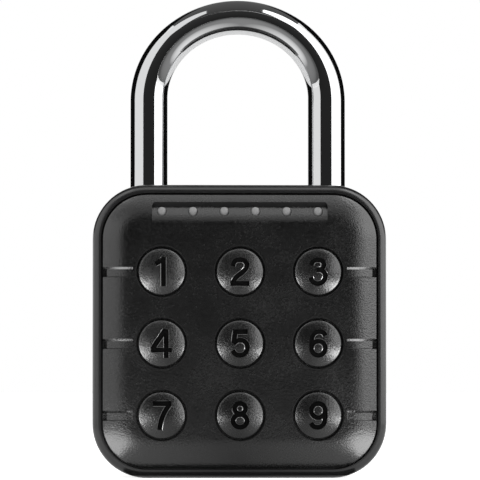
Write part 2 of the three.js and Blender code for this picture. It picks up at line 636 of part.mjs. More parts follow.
// Shackle: one bent bar with a long heel leg. Both legs are notched for the bolts, and the heel has a
// turned neck that lets it slide past its keeper pin and stops it there.
const NOSE_GAP = 0.4; // drawn-in bolt to the leg
const NOTCH_CLEARANCE = 0.25;
const TOE_BELOW_BOLT = 1.9;
const HEEL_LENGTH_BELOW_NECK = 4;
const NECK_SLOPE = 1.5;
const LEG_CHAMFER = 0.8;
const KEEPER_PIN_RADIUS = 1;
const NECK_SPARE = 4; // neck above the keeper pin with the shackle down
const CROWN_STEPS = 20;
const KEEPER_BELOW_BOLT = 12.4;
const boltNoseX = legX - legRadius - NOSE_GAP;
const notchX = boltNoseX + BOLT_THROW + NOTCH_CLEARANCE;
const neckRadius = legX - notchX;
const toeEndY = boltLowY - TOE_BELOW_BOLT;
const keeperY = boltLowY + BOLT_HEIGHT / 2 - KEEPER_BELOW_BOLT - KEEPER_PIN_RADIUS;
const neckLowY = keeperY - KEEPER_PIN_RADIUS - SLIDE_GAP - SHACKLE_LIFT;
const neckHighY = keeperY + KEEPER_PIN_RADIUS + NECK_SPARE;
const heelEndY = neckLowY - HEEL_LENGTH_BELOW_NECK;
const keeperX = -legX + neckRadius + SLIDE_GAP + KEEPER_PIN_RADIUS;
const keeperBackZ = innerBackZ + SEAT_GAP;
const springLineY = bodyHeight + SHACKLE_RISE;
const crownRise = legX * CROWN_HEIGHT_SHARE;

function shackle() {
  const ring = (x, y, outward, inPlane, across) => {
    const points = [];
    for (let i = 0; i < ROUND_STEPS; i++) {
      const turn = (2 * Math.PI * i) / ROUND_STEPS;
      const out = inPlane * Math.cos(turn);
      const z = shackleZ + across * Math.sin(turn);
      points.push(new THREE.Vector3(x + outward.x * out, y + outward.y * out, z));
    }
    return points;
  };
  const legRing = (side, y, radius) => ring(side * legX, y, new THREE.Vector2(side, 0), radius, radius);
  const rings = [
    legRing(-1, heelEndY, legRadius - LEG_CHAMFER),
    legRing(-1, heelEndY + LEG_CHAMFER, legRadius),
  ];
  for (let step = 0; step <= CROWN_STEPS; step++) {
    const turn = Math.PI * (1 - step / CROWN_STEPS);
    const outward = new THREE.Vector2(crownRise * Math.cos(turn), legX * Math.sin(turn)).normalize();
    const x = legX * Math.cos(turn);
    const y = springLineY + crownRise * Math.sin(turn);
    rings.push(ring(x, y, outward, legRadius - CROWN_THINNING * Math.sin(turn), legRadius));
  }
  rings.push(legRing(1, toeEndY + LEG_CHAMFER, legRadius), legRing(1, toeEndY, legRadius - LEG_CHAMFER));

  const outRadius = legRadius + CUT_OVERRUN;
  const groove = [
    [neckRadius, neckLowY],
    [outRadius, neckLowY],
    [outRadius, neckHighY + NECK_SLOPE],
    [legRadius, neckHighY + NECK_SLOPE],
    [neckRadius, neckHighY],
    [neckRadius, neckLowY],
  ];
  const neck = solid(turned(groove).rotateX(-Math.PI / 2).translate(-legX, 0, shackleZ));
  const notchSpan = about(boltLowY + BOLT_HEIGHT / 2, BOLT_HEIGHT + 2 * PART_GAP);
  const notchWidth = about(shackleZ, SHACKLE_DIAMETER + CUT_OVERRUN);
  const notches = sides.map((side) => sideBox(side, [boltNoseX, notchX], notchSpan, notchWidth));
  return cutBy(solid(skinned(rings)), neck, ...notches);
}

// Keeper pin: pressed into the heel's tower beside the neck.
const keeperPinSolid = (clearance, span) =>
  barOut(KEEPER_PIN_RADIUS + clearance, keeperX, keeperY, span, SMALL_STEPS);

// Lift spring under the heel.
const SPRING_WIRE_RADIUS = 0.5;
const SPRING_CLEARANCE = 0.3; // spring to the wall of its bore
const SPRING_TURNS = 6;
const SPRING_STEPS = 10;
const WIRE_SIDES = 4;

function liftSpring() {
  const coilRadius = boreRadius - SPRING_CLEARANCE - SPRING_WIRE_RADIUS;
  const firstY = heelFloorY + SEAT_GAP + SPRING_WIRE_RADIUS;
  const climb = heelEndY - SEAT_GAP - SPRING_WIRE_RADIUS - firstY;
  const rings = [];
  for (let step = 0; step <= SPRING_TURNS * SPRING_STEPS; step++) {
    const turn = (2 * Math.PI * step) / SPRING_STEPS;
    const radial = new THREE.Vector3(Math.cos(turn), 0, Math.sin(turn));
    const rise = climb / (2 * Math.PI * SPRING_TURNS);
    const along = new THREE.Vector3(-coilRadius * radial.z, rise, coilRadius * radial.x).normalize();
    const across = new THREE.Vector3().crossVectors(along, radial);
    const height = firstY + rise * turn;
    const middle = new THREE.Vector3(-legX, height, shackleZ).addScaledVector(radial, coilRadius);
    const ring = [];
    for (let i = 0; i < WIRE_SIDES; i++) {
      const side = (2 * Math.PI * i) / WIRE_SIDES;
      ring.push(
        middle
          .clone()
          .addScaledVector(radial, SPRING_WIRE_RADIUS * Math.cos(side))
          .addScaledVector(across, SPRING_WIRE_RADIUS * Math.sin(side)),
      );
    }
    rings.push(ring);
  }
  return skinned(rings);
}

// Bolts: each has a chamfered nose and a pin that stands in a slot of the cam.
const BOLT_PIN_RADIUS = 0.7;
const BOLT_END_LAND = 0.5;
const NOSE_CHAMFER = 0.6;
const PIN_SINK = 0.2; // free depth under a pin in its slot

function bolt(side) {
  const half = BOLT_WIDTH / 2;
  const innerX = PIN_CIRCLE_RADIUS - BOLT_PIN_RADIUS - BOLT_END_LAND;
  const outline = [
    [innerX, -half],
    [boltNoseX - NOSE_CHAMFER, -half],
    [boltNoseX, NOSE_CHAMFER - half],
    [boltNoseX, half - NOSE_CHAMFER],
    [boltNoseX - NOSE_CHAMFER, half],
    [innerX, half],
  ].map(([x, z]) => new THREE.Vector2(side * x, z));
  const bar = plateUp(outline, boltSpan, 0, shackleZ);
  const pinSpan = [camTopY - SLOT_DEPTH + PIN_SINK, boltLowY + BOLT_HEIGHT / 2];
  return bar.add(barUp(BOLT_PIN_RADIUS, side * PIN_CIRCLE_RADIUS, shackleZ, pinSpan, SMALL_STEPS));
}

// Scroll cam: two spiral slots carry the bolt pins outwards as it turns.
const BLOCK_FLOOR = 1.1; // metal between the bolts and the cam
const CAM_THICKNESS = 2.4;
const CAM_RIM = 0.9;
const CAM_HUB_LENGTH = 3;
const CAM_HUB_RADIUS = 2.8;
const SLOT_DEPTH = 1.5;
const SLOT_STEPS = 7;
const SLOT_END_STEPS = 4;
const SHAFT_RADIUS = 1.5;
const SHAFT_FLAT = 0.5; // depth of the flat on the shaft
const camTopY = boltLowY - SLIDE_GAP - BLOCK_FLOOR - PART_GAP;
const camLowY = camTopY - CAM_THICKNESS;
const hubLowY = camLowY - CAM_HUB_LENGTH;
const slotHalf = BOLT_PIN_RADIUS + SLIDE_GAP;
const camRadius = PIN_CIRCLE_RADIUS + BOLT_THROW + slotHalf + CAM_RIM;

// Outline of the slot whose pin starts in the direction given, about the cam's axis.
function slotOutline(direction) {
  const spread = BOLT_THROW / CAM_TURN;
  const middle = (turn) => {
    const r = PIN_CIRCLE_RADIUS + spread * turn;
    return new THREE.Vector2(r * Math.cos(direction - turn), r * Math.sin(direction - turn));
  };
  const heading = (turn) => {
    const r = PIN_CIRCLE_RADIUS + spread * turn;
    return direction - turn - Math.PI / 2 + Math.atan2(spread, r);
  };
  const beside = (turn, offset) => {
    const angle = heading(turn) + offset;
    return middle(turn).add(new THREE.Vector2(Math.cos(angle), Math.sin(angle)).multiplyScalar(slotHalf));
  };
  const quarter = Math.PI / 2;
  const points = [];
  for (let step = 0; step <= SLOT_STEPS; step++) {
    points.push(beside((CAM_TURN * step) / SLOT_STEPS, -quarter));
  }
  for (let step = 1; step < SLOT_END_STEPS; step++) {
    points.push(beside(CAM_TURN, -quarter + (Math.PI * step) / SLOT_END_STEPS));
  }
  for (let step = SLOT_STEPS; step >= 0; step--) {
    points.push(beside((CAM_TURN * step) / SLOT_STEPS, quarter));
  }
  for (let step = 1; step < SLOT_END_STEPS; step++) {
    points.push(beside(0, quarter + (Math.PI * step) / SLOT_END_STEPS));
  }
  return points;
}

// A round shaft with one flat, along Y.
function flattedShaft(radius, flatDepth, [y0, y1]) {
  const crownOfShaft = shackleZ + radius;
  const flat = box(
    about(0, 2 * radius + CUT_OVERRUN),
    [y0 - CUT_OVERRUN, y1 + CUT_OVERRUN],
    [crownOfShaft - flatDepth, crownOfShaft + CUT_OVERRUN],
  );
  return barUp(radius, 0, shackleZ, [y0, y1]).subtract(flat);
}

function scrollCam() {
  const disc = barUp(camRadius, 0, shackleZ, [camLowY, camTopY]);
  const hub = barUp(CAM_HUB_RADIUS, 0, shackleZ, [hubLowY, camLowY + SEAT_GAP]);
  const slotSpan = [camTopY - SLOT_DEPTH, camTopY + CUT_OVERRUN];
  return cutBy(
    disc.add(hub),
    ...[0, Math.PI].map((direction) => plateUp(slotOutline(direction), slotSpan, 0, shackleZ)),
    flattedShaft(SHAFT_RADIUS + SEAT_GAP, SHAFT_FLAT, [hubLowY - CUT_OVERRUN, camLowY]),
  );
}

// Gear motor with its output shaft under the cam.
const GEARBOX_LENGTH = 9;
const MOTOR_CAN_LENGTH = 15;
const BRUSH_CAP_LENGTH = 1.2;
const BRUSH_CAP_INSET = 1;
const GEARBOX_CORNER = 0.6;
const SHAFT_IN_GEARBOX = 3;
const motorTopY = hubLowY - PART_GAP;
const gearboxLowY = motorTopY - GEARBOX_LENGTH;
const canLowY = gearboxLowY - SEAT_GAP - MOTOR_CAN_LENGTH;

const outputShaft = () =>
  flattedShaft(SHAFT_RADIUS, SHAFT_FLAT, [motorTopY - SHAFT_IN_GEARBOX, camLowY - SEAT_GAP]);

function gearbox() {
  const outline = roundedOutline(MOTOR_WIDTH, MOTOR_DEPTH, GEARBOX_CORNER, SLOT_END_STEPS);
  const bore = [motorTopY - SHAFT_IN_GEARBOX - SEAT_GAP, motorTopY + CUT_OVERRUN];
  return plateUp(outline, [gearboxLowY, motorTopY], 0, shackleZ).subtract(
    barUp(SHAFT_RADIUS + SEAT_GAP, 0, shackleZ, bore),
  );
}

function motorCan() {
  const flattened = (radius, depth, span) => {
    const [low, high] = span;
    const slab = box(about(0, 2 * radius), [low - CUT_OVERRUN, high + CUT_OVERRUN], about(shackleZ, depth));
    return barUp(radius, 0, shackleZ, span).intersect(slab);
  };
  const canSpan = [canLowY, gearboxLowY - SEAT_GAP];
  const capRadius = MOTOR_WIDTH / 2 - BRUSH_CAP_INSET;
  const capSpan = [canLowY - BRUSH_CAP_LENGTH, canLowY + SEAT_GAP];
  return flattened(MOTOR_WIDTH / 2, MOTOR_DEPTH, canSpan).add(
    flattened(capRadius, MOTOR_DEPTH - 2 * BRUSH_CAP_INSET, capSpan),
  );
}

// Motor cradle and the strap that holds the motor down in it.
const CRADLE_ARM_SHARE = 0.7; // arms against the motor's depth
const STRAP_WIDTH = 6;
const cradleInnerX = cradleOuterX - CRADLE_WALL;
const strapY = gearboxLowY - STRAP_WIDTH;
const cradleBaseZ = [innerBackZ + SEAT_GAP, motorBackZ - SEAT_GAP];
const strapScrews = sides.map((side) => ({ side, x: side * earX, y: strapY }));

function motorCradle() {
  const span = [canLowY, motorTopY];
  const [baseLowZ, baseHighZ] = cradleBaseZ;
  const armZ = [baseHighZ - SEAT_GAP, motorBackZ + MOTOR_DEPTH * CRADLE_ARM_SHARE];
  const base = box(about(0, 2 * cradleOuterX), span, cradleBaseZ);
  const ears = box(about(0, 2 * earOuterX), about(strapY, STRAP_WIDTH), cradleBaseZ);
  const arms = sides.map((side) => sideBox(side, [cradleInnerX, cradleOuterX], span, armZ));
  const holes = strapScrews.map(({ x, y }) =>
    barOut(screwPassage, x, y, [baseLowZ - CUT_OVERRUN, baseHighZ + CUT_OVERRUN], SMALL_STEPS),
  );
  return cutBy(joined(base, ears, ...arms), ...holes);
}

function motorStrap() {
  const [, baseHighZ] = cradleBaseZ;
  const footZ = baseHighZ + SEAT_GAP;
  const innerX = cradleOuterX + SEAT_GAP;
  const outerX = innerX + STRAP_THICKNESS;
  const topZ = motorFrontZ + SEAT_GAP;
  const outside = [
    [earOuterX, footZ],
    [earOuterX, footZ + STRAP_THICKNESS],
    [outerX, footZ + STRAP_THICKNESS],
    [outerX, topZ + STRAP_THICKNESS],
  ];
  const inside = [
    [innerX, topZ],
    [innerX, footZ],
  ];
  const mirrored = (points) => points.map(([x, z]) => [-x, z]).reverse();
  const outline = [...outside, ...mirrored(outside), ...mirrored(inside), ...inside];
  const points = outline.map(([x, z]) => new THREE.Vector2(x, -z));
  const strip = plateUp(points, about(strapY, STRAP_WIDTH));
  const holes = strapScrews.map(({ x, y }) =>
    barOut(screwPassage, x, y, [footZ - CUT_OVERRUN, footZ + STRAP_THICKNESS + CUT_OVERRUN], SMALL_STEPS),
  );
  return cutBy(strip, ...holes);
}

// Bolt block: guides the bolts over the cam. Its cover closes the channel.
const COVER_THICKNESS = 1.2;
const blockHalf = towerInnerX - SLIDE_GAP;
const blockLowY = hubLowY + PART_GAP;
const blockTopY = ceilingY - SLIDE_GAP;
const blockBackZ = innerBackZ + SEAT_GAP;
const [, blockFrontZ] = boltDepth;
const camSpace = camRadius + PART_GAP;
const blockScrews = sides.map((side) => ({
  side,
  x: (side * (camSpace + blockHalf)) / 2,
  y: (blockLowY + camTopY) / 2,
}));
const blockScrewLength = blockFrontZ + SEAT_GAP + COVER_THICKNESS - innerBackZ + BLIND_BITE;

function boltBlock() {
  const through = [blockBackZ - CUT_OVERRUN, blockFrontZ + CUT_OVERRUN];
  const [channelBackZ] = boltDepth;
  const pinReach = PIN_CIRCLE_RADIUS + BOLT_THROW + slotHalf;
  return cutBy(
    box(about(0, 2 * blockHalf), [blockLowY, blockTopY], [blockBackZ, blockFrontZ]),
    box(about(0, 2 * blockHalf + CUT_OVERRUN), boltPassage, [channelBackZ, blockFrontZ + CUT_OVERRUN]),
    barUp(camSpace, 0, shackleZ, [blockLowY - CUT_OVERRUN, camTopY + PART_GAP]),
    box(about(0, 2 * pinReach), [camTopY, boltLowY], about(shackleZ, 2 * slotHalf)),
    ...blockScrews.map(({ x, y }) => barOut(screwPassage, x, y, through, SMALL_STEPS)),
  );
}

function blockCover() {
  const span = [blockFrontZ + SEAT_GAP, blockFrontZ + SEAT_GAP + COVER_THICKNESS];
  const [low, high] = span;
  const through = [low - CUT_OVERRUN, high + CUT_OVERRUN];
  return cutBy(
    box(about(0, 2 * blockHalf), [blockLowY, blockTopY], span),
    box(about(0, 2 * camSpace), [blockLowY - CUT_OVERRUN, camTopY + PART_GAP], through),
    ...blockScrews.map(({ x, y }) => barOut(screwPassage, x, y, through, SMALL_STEPS)),
  );
}

// Battery with its foam pad, under the motor, from the heel's tower to the corner round of the body.
const BATTERY_THICKNESS = 8;
const BATTERY_CORNER = 1.5;
const BATTERY_CLEARANCE = 1.6; // battery to the motor
const PAD_INSET = 1.5;
const batteryX = [-towerInnerX + PART_GAP, bodyHalf - CORNER_RADIUS + BATTERY_CORNER];
const batteryY = [floorY + SEAT_GAP, canLowY - BRUSH_CAP_LENGTH - BATTERY_CLEARANCE];
const batteryZ = [innerBackZ + SEAT_GAP, innerBackZ + SEAT_GAP + BATTERY_THICKNESS];

function battery() {
  const [left, right] = batteryX;
  const [low, high] = batteryY;
  const outline = roundedOutline(right - left, high - low, BATTERY_CORNER, SLOT_END_STEPS);
  return plate(outline, batteryZ, (left + right) / 2, (low + high) / 2);
}

function batteryPad() {
  const drawnIn = ([low, high]) => [low + PAD_INSET, high - PAD_INSET];
  const [, front] = batteryZ;
  const padFrontZ = portZ - SOCKET_HEIGHT / 2 - PART_GAP;
  return box(drawnIn(batteryX), drawnIn(batteryY), [front + SEAT_GAP, padFrontZ]);
}

// Charging port in the base: a metal socket on the board and a rubber plug over its mouth.
const SOCKET_WIDTH = 8.9;
const SOCKET_HEIGHT = 3.2;
const SOCKET_LENGTH = 6.8;
const SOCKET_SHELL = 0.35;
const SOCKET_TONGUE_HEIGHT = 0.7;
const SOCKET_TONGUE_WIDTH = 6.6;
const SOCKET_BACK = 0.8;
const PORT_WIDTH = 9.7;
const PORT_HEIGHT = 4;
const PLUG_WIDTH = 13;
const PLUG_HEIGHT = 6.4;
const PLUG_RECESS = 1.2;
const PLUG_INSET = 0.15; // plug's face above the base
const PLUG_BOSS = 1.1;
const portZ = boardBackZ - SEAT_GAP - SOCKET_HEIGHT / 2;
const socketMouthY = PLUG_RECESS + PLUG_BOSS + PART_GAP;
const stadium = (width, height) => roundedOutline(width, height, height / 2);

function chargeSocket() {
  const span = [socketMouthY, socketMouthY + SOCKET_LENGTH];
  const [low, high] = span;
  const inner = stadium(SOCKET_WIDTH - 2 * SOCKET_SHELL, SOCKET_HEIGHT - 2 * SOCKET_SHELL);
  const tongueZ = about(portZ, SOCKET_TONGUE_HEIGHT);
  const tongue = box(about(0, SOCKET_TONGUE_WIDTH), [low + SOCKET_BACK, high - SOCKET_BACK / 2], tongueZ);
  return plateUp(stadium(SOCKET_WIDTH, SOCKET_HEIGHT), span, 0, portZ)
    .subtract(plateUp(inner, [low - CUT_OVERRUN, high - SOCKET_BACK], 0, portZ))
    .add(tongue);
}

function portPlug() {
  const cap = stadium(PLUG_WIDTH - 2 * SLIDE_GAP, PLUG_HEIGHT - 2 * SLIDE_GAP);
  const boss = stadium(PORT_WIDTH - 2 * SLIDE_GAP, PORT_HEIGHT - 2 * SLIDE_GAP);
  const capTopY = PLUG_RECESS - SEAT_GAP;
  return plateUp(cap, [PLUG_INSET, capTopY], 0, portZ).add(
    plateUp(boss, [capTopY - SEAT_GAP, PLUG_RECESS + PLUG_BOSS], 0, portZ),
  );
}

// Assembly
const faceGroup = group(
  piece("front_panel", frontPanel(), blackMoulding),
  piece("panel_gasket", panelGasket(), rubber),
  piece("light_guide", lightGuide(), diffuser),
  piece("keypad_mat", keypadMat(), silicone),
  piece("control_board", controlBoard(), boardGreen),
  ...keyPlaces.map(({ x, y }, i) => piece(`key_${i + 1}`, key(), blackMoulding, [x, y, 0])),
);

const boardScrewLength = boardScrewTipZ - boardBackZ;
boardPosts.forEach(({ x, y }, i) => {
  const made = piece(`board_screw_${i + 1}`, screw(boardScrewLength), steel, [x, y, boardBackZ - SEAT_GAP]);
  made.rotation.x = Math.PI;
  faceGroup.add(made);
});

const bodyGroup = group(
  piece("housing", housing(), blackCoat),
  piece("keeper_pin", keeperPinSolid(0, [keeperBackZ, towerFrontZ]), steel),
  ...sides.map((side) => piece(`${sideName(side)}_shackle_seal`, shackleSeal(side), rubber)),
);

const panelScrewSeatZ = backZ + SCREW_RECESS;
panelScrews.forEach(({ x, y }, i) => {
  const length = panelScrewTipZ - SEAT_GAP - panelScrewSeatZ;
  const made = piece(`panel_screw_${i + 1}`, screw(length), steel, [x, y, panelScrewSeatZ - SEAT_GAP]);
  made.rotation.x = Math.PI;
  bodyGroup.add(made);
});

const shackleGroup = group(piece("shackle", shackle(), chrome), piece("lift_spring", liftSpring(), steel));

const lockGroup = group(
  piece("bolt_block", boltBlock(), zinc),
  piece("block_cover", blockCover(), steel),
  ...sides.map((side) => piece(`${sideName(side)}_bolt`, bolt(side), steel)),
  piece("scroll_cam", scrollCam(), brass),
  piece("output_shaft", outputShaft(), steel),
  piece("gearbox", gearbox(), brass),
  piece("motor_can", motorCan(), steel),
  piece("motor_cradle", motorCradle(), nylon),
  piece("motor_strap", motorStrap(), steel),
  ...blockScrews.map(({ side, x, y }) => {
    const seatZ = blockFrontZ + 2 * SEAT_GAP + COVER_THICKNESS;
    return piece(`${sideName(side)}_block_screw`, screw(blockScrewLength), steel, [x, y, seatZ]);
  }),
  ...strapScrews.map(({ side, x, y }) => {
    const [, baseHighZ] = cradleBaseZ;
    const seatZ = baseHighZ + 2 * SEAT_GAP + STRAP_THICKNESS;
    const length = seatZ - SEAT_GAP - innerBackZ + BLIND_BITE;
    return piece(`${sideName(side)}_strap_screw`, screw(length), steel, [x, y, seatZ]);
  }),
);

const powerGroup = group(
  piece("battery", battery(), cellWrap),
  piece("battery_pad", batteryPad(), foam),
  piece("charge_socket", chargeSocket(), steel),
  piece("port_plug", portPlug(), rubber),
);

const padlock = group(bodyGroup, faceGroup, shackleGroup, lockGroup, powerGroup);
padlock.rotation.x = Math.PI / 2;

export default padlock;
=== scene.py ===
"""Keypad padlock: die-cast body, crowned front panel with nine number keys, chromed shackle."""

import math

import bmesh
import bpy
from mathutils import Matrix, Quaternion, Vector


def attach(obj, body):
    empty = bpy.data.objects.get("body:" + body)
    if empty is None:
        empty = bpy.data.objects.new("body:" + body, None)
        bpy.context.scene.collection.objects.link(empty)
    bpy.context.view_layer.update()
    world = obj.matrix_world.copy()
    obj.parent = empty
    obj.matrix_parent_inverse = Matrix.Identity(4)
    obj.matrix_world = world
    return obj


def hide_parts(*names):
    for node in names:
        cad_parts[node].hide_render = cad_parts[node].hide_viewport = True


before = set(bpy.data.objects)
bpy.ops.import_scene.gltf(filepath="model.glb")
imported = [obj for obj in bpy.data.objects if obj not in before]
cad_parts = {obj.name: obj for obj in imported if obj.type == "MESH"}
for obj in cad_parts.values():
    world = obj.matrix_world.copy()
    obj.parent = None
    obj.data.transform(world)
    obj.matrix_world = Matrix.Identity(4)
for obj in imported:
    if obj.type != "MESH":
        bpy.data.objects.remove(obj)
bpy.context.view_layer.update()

# ---------------------------------------------------------------------------------------------
# Body. A die-cast zinc tub, open to the face, with a guide tower for each leg of the shackle and
# four pillars for the cover's screws. Cast, drilled and milled, then powder coated black. Like all
# pieces it is made lying face up, in millimetres: X across, Y up the lock, Z out of the face.
mm = 0.001
body_half = 31
body_height = 61.8
body_corner = 11.5
back = -13
back_round = 3
rim_edge = 10.8
rim_round = 1.55


def edit(piece):
    bpy.ops.object.select_all(action="DESELECT")
    piece.select_set(True)
    bpy.context.view_layer.objects.active = piece
    bpy.ops.object.mode_set(mode="EDIT")


def done():
    bpy.ops.object.mode_set(mode="OBJECT")
    return bpy.context.object


def pick(kind, test):
    """In edit mode, selects the edges or faces that pass the test and nothing else."""
    bpy.ops.mesh.select_mode(type=kind)
    bpy.ops.mesh.select_all(action="DESELECT")
    shape = bmesh.from_edit_mesh(bpy.context.object.data)
    for item in shape.edges if kind == "EDGE" else shape.faces:
        if test(item):
            item.select_set(True)
    bmesh.update_edit_mesh(bpy.context.object.data)


def block(x, y, z):
    """A plain block between its limits in millimetres."""
    bpy.ops.object.select_all(action="DESELECT")
    middle = [mm * (low + high) / 2 for low, high in (x, y, z)]
    size = [mm * (high - low) for low, high in (x, y, z)]
    bpy.ops.mesh.primitive_cube_add(size=1, location=middle, scale=size)
    bpy.ops.object.transform_apply()
    return bpy.context.object


def upright(edge):
    a, b = (v.co for v in edge.verts)
    return (a - b).to_2d().length < 1e-7


def round_block(x, y, z, corner, steps=16):
    """A block whose four upright corners are rounded."""
    made = block(x, y, z)
    edit(made)
    pick("EDGE", upright)
    bpy.ops.mesh.bevel(offset=corner * mm, segments=steps, profile=0.5, affect="EDGES")
    return done()


def body_block(inset, z, steps=16):
    """A block with the body's outline, drawn in by an inset."""
    across = (inset - body_half, body_half - inset)
    return round_block(across, (inset, body_height - inset), z, body_corner - inset, steps)


def rod_out(radius, x, y, z, sides=32):
    """A round bar standing out of the face."""
    bpy.ops.object.select_all(action="DESELECT")
    low, high = z
    middle = (x * mm, y * mm, (low + high) / 2 * mm)
    bpy.ops.mesh.primitive_cylinder_add(
        vertices=sides, radius=radius * mm, depth=(high - low) * mm, location=middle
    )
    bpy.ops.object.transform_apply()
    return bpy.context.object


def rod_up(radius, x, y, z, sides=64):
    """A round bar along the legs of the shackle."""
    bpy.ops.object.select_all(action="DESELECT")
    low, high = y
    middle = (x * mm, (low + high) / 2 * mm, z * mm)
    bpy.ops.mesh.primitive_cylinder_add(
        vertices=sides, radius=radius * mm, depth=(high - low) * mm, location=middle,
        rotation=(math.pi / 2, 0, 0),
    )
    bpy.ops.object.transform_apply()
    return bpy.context.object


def work(piece, operation, tools):
    """Cuts the tools from a piece, or joins or crosses it with them, one after the other."""
    for tool in tools:
        bpy.ops.object.select_all(action="DESELECT")
        piece.select_set(True)
        bpy.context.view_layer.objects.active = piece
        step = piece.modifiers.new("step", "BOOLEAN")
        step.operation = operation
        step.solver = "EXACT"
        step.material_mode = "TRANSFER"
        step.object = tool
        bpy.ops.object.modifier_apply(modifier="step")
        bpy.data.objects.remove(tool)
    return piece


def finish_shape(piece, name, smooth=32):
    """Names a piece, stands it up on its base and shades its rounds smooth."""
    bpy.ops.object.select_all(action="DESELECT")
    piece.select_set(True)
    bpy.context.view_layer.objects.active = piece
    piece.name = name
    piece.data.name = name
    bpy.ops.object.transform_apply()
    piece.rotation_euler = (math.pi / 2, 0, 0)
    bpy.ops.object.transform_apply()
    bpy.ops.object.shade_smooth_by_angle(angle=math.radians(smooth))
    level = piece.modifiers.new("level", "WEIGHTED_NORMAL")
    level.keep_sharp = True
    bpy.ops.object.modifier_apply(modifier="level")
    return piece


def rounded_body():
    """The body's outside: corners, a large round at the back and a smaller one around the face."""
    made = body_block(0, (back, rim_edge), steps=20)
    edit(made)
    for level, radius in ((back, back_round), (rim_edge, rim_round)):
        pick("EDGE", lambda edge: all(abs(v.co.z - level * mm) < 1e-6 for v in edge.verts))
        bpy.ops.mesh.bevel(offset=radius * mm, segments=8, profile=0.5, affect="EDGES")
    return done()


def along_height(edge):
    a, b = (v.co for v in edge.verts)
    return abs(a.x - b.x) < 1e-7 and abs(a.z - b.z) < 1e-7


def slot_block(wide, high, y):
    """A block with fully round ends, as the charging port is, standing along the height."""
    made = block((-wide / 2, wide / 2), y, (port_plane - high / 2, port_plane + high / 2))
    edit(made)
    pick("EDGE", along_height)
    bpy.ops.mesh.bevel(offset=(high / 2 - 0.01) * mm, segments=16, profile=0.5, affect="EDGES")
    return done()


wall = 3.75
rim_wall = 1.775
inner_back = -10.5
ledge = 7.0
leg = 19
shackle_plane = -3
towers = ((-leg, 3.65, 5.95), (leg, 45.9, 47.1))
tower_half = 5.4
tower_top = 58.15
tower_depth = (inner_back - 0.1, 2.4)
leg_bore = 4.2
bore_top = 63
ring_seat = 5.3
ring_foot = 59.66
window_inner = 12.6
bolt_window = ((51.0, 55.4), (-6.2, 0.2))
panel_screws = [(x, y) for y in (20.75, 49.4) for x in (-25.4, 25.4)]
pillar_radius = 2.2
screw_bore = 1.2
screw_seat = 2.1
port_plane = 2.4
port = (9.7, 4.0)
plug_recess = (13, 6.4)
body = rounded_body()
work(body, "DIFFERENCE", [
    body_block(wall, (inner_back, ledge + 1)),
    body_block(rim_wall, (ledge, rim_edge + 1), steps=20),
])
work(body, "UNION", [
    *[block((x - tower_half, x + tower_half), (foot, tower_top), tower_depth)
      for x, foot, bore_foot in towers],
    *[rod_out(pillar_radius, x, y, (inner_back - 0.1, ledge)) for x, y in panel_screws],
])
work(body, "DIFFERENCE", [
    *[rod_up(leg_bore, x, (bore_foot, bore_top), shackle_plane) for x, foot, bore_foot in towers],
    block((-leg, -window_inner), *bolt_window),
    block((window_inner, leg), *bolt_window),
    *[rod_up(ring_seat, x, (ring_foot, bore_top), shackle_plane) for x in (-leg, leg)],
    *[rod_out(screw_bore, x, y, (back - 1, ledge + 1)) for x, y in panel_screws],
    *[rod_out(screw_seat, x, y, (back - 1, back + 1.5), 48) for x, y in panel_screws],
    slot_block(*port, (-1, 5)),
    slot_block(*plug_recess, (-1, 1.2)),
])
finish_shape(body, "padlock_body")
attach(body, "body")
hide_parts("housing")


def socket(group, name, side, kind, value=None):
    made = group.interface.new_socket(name=name, in_out=side, socket_type="NodeSocket" + kind)
    if value is not None:
        made.default_value = value
    return made


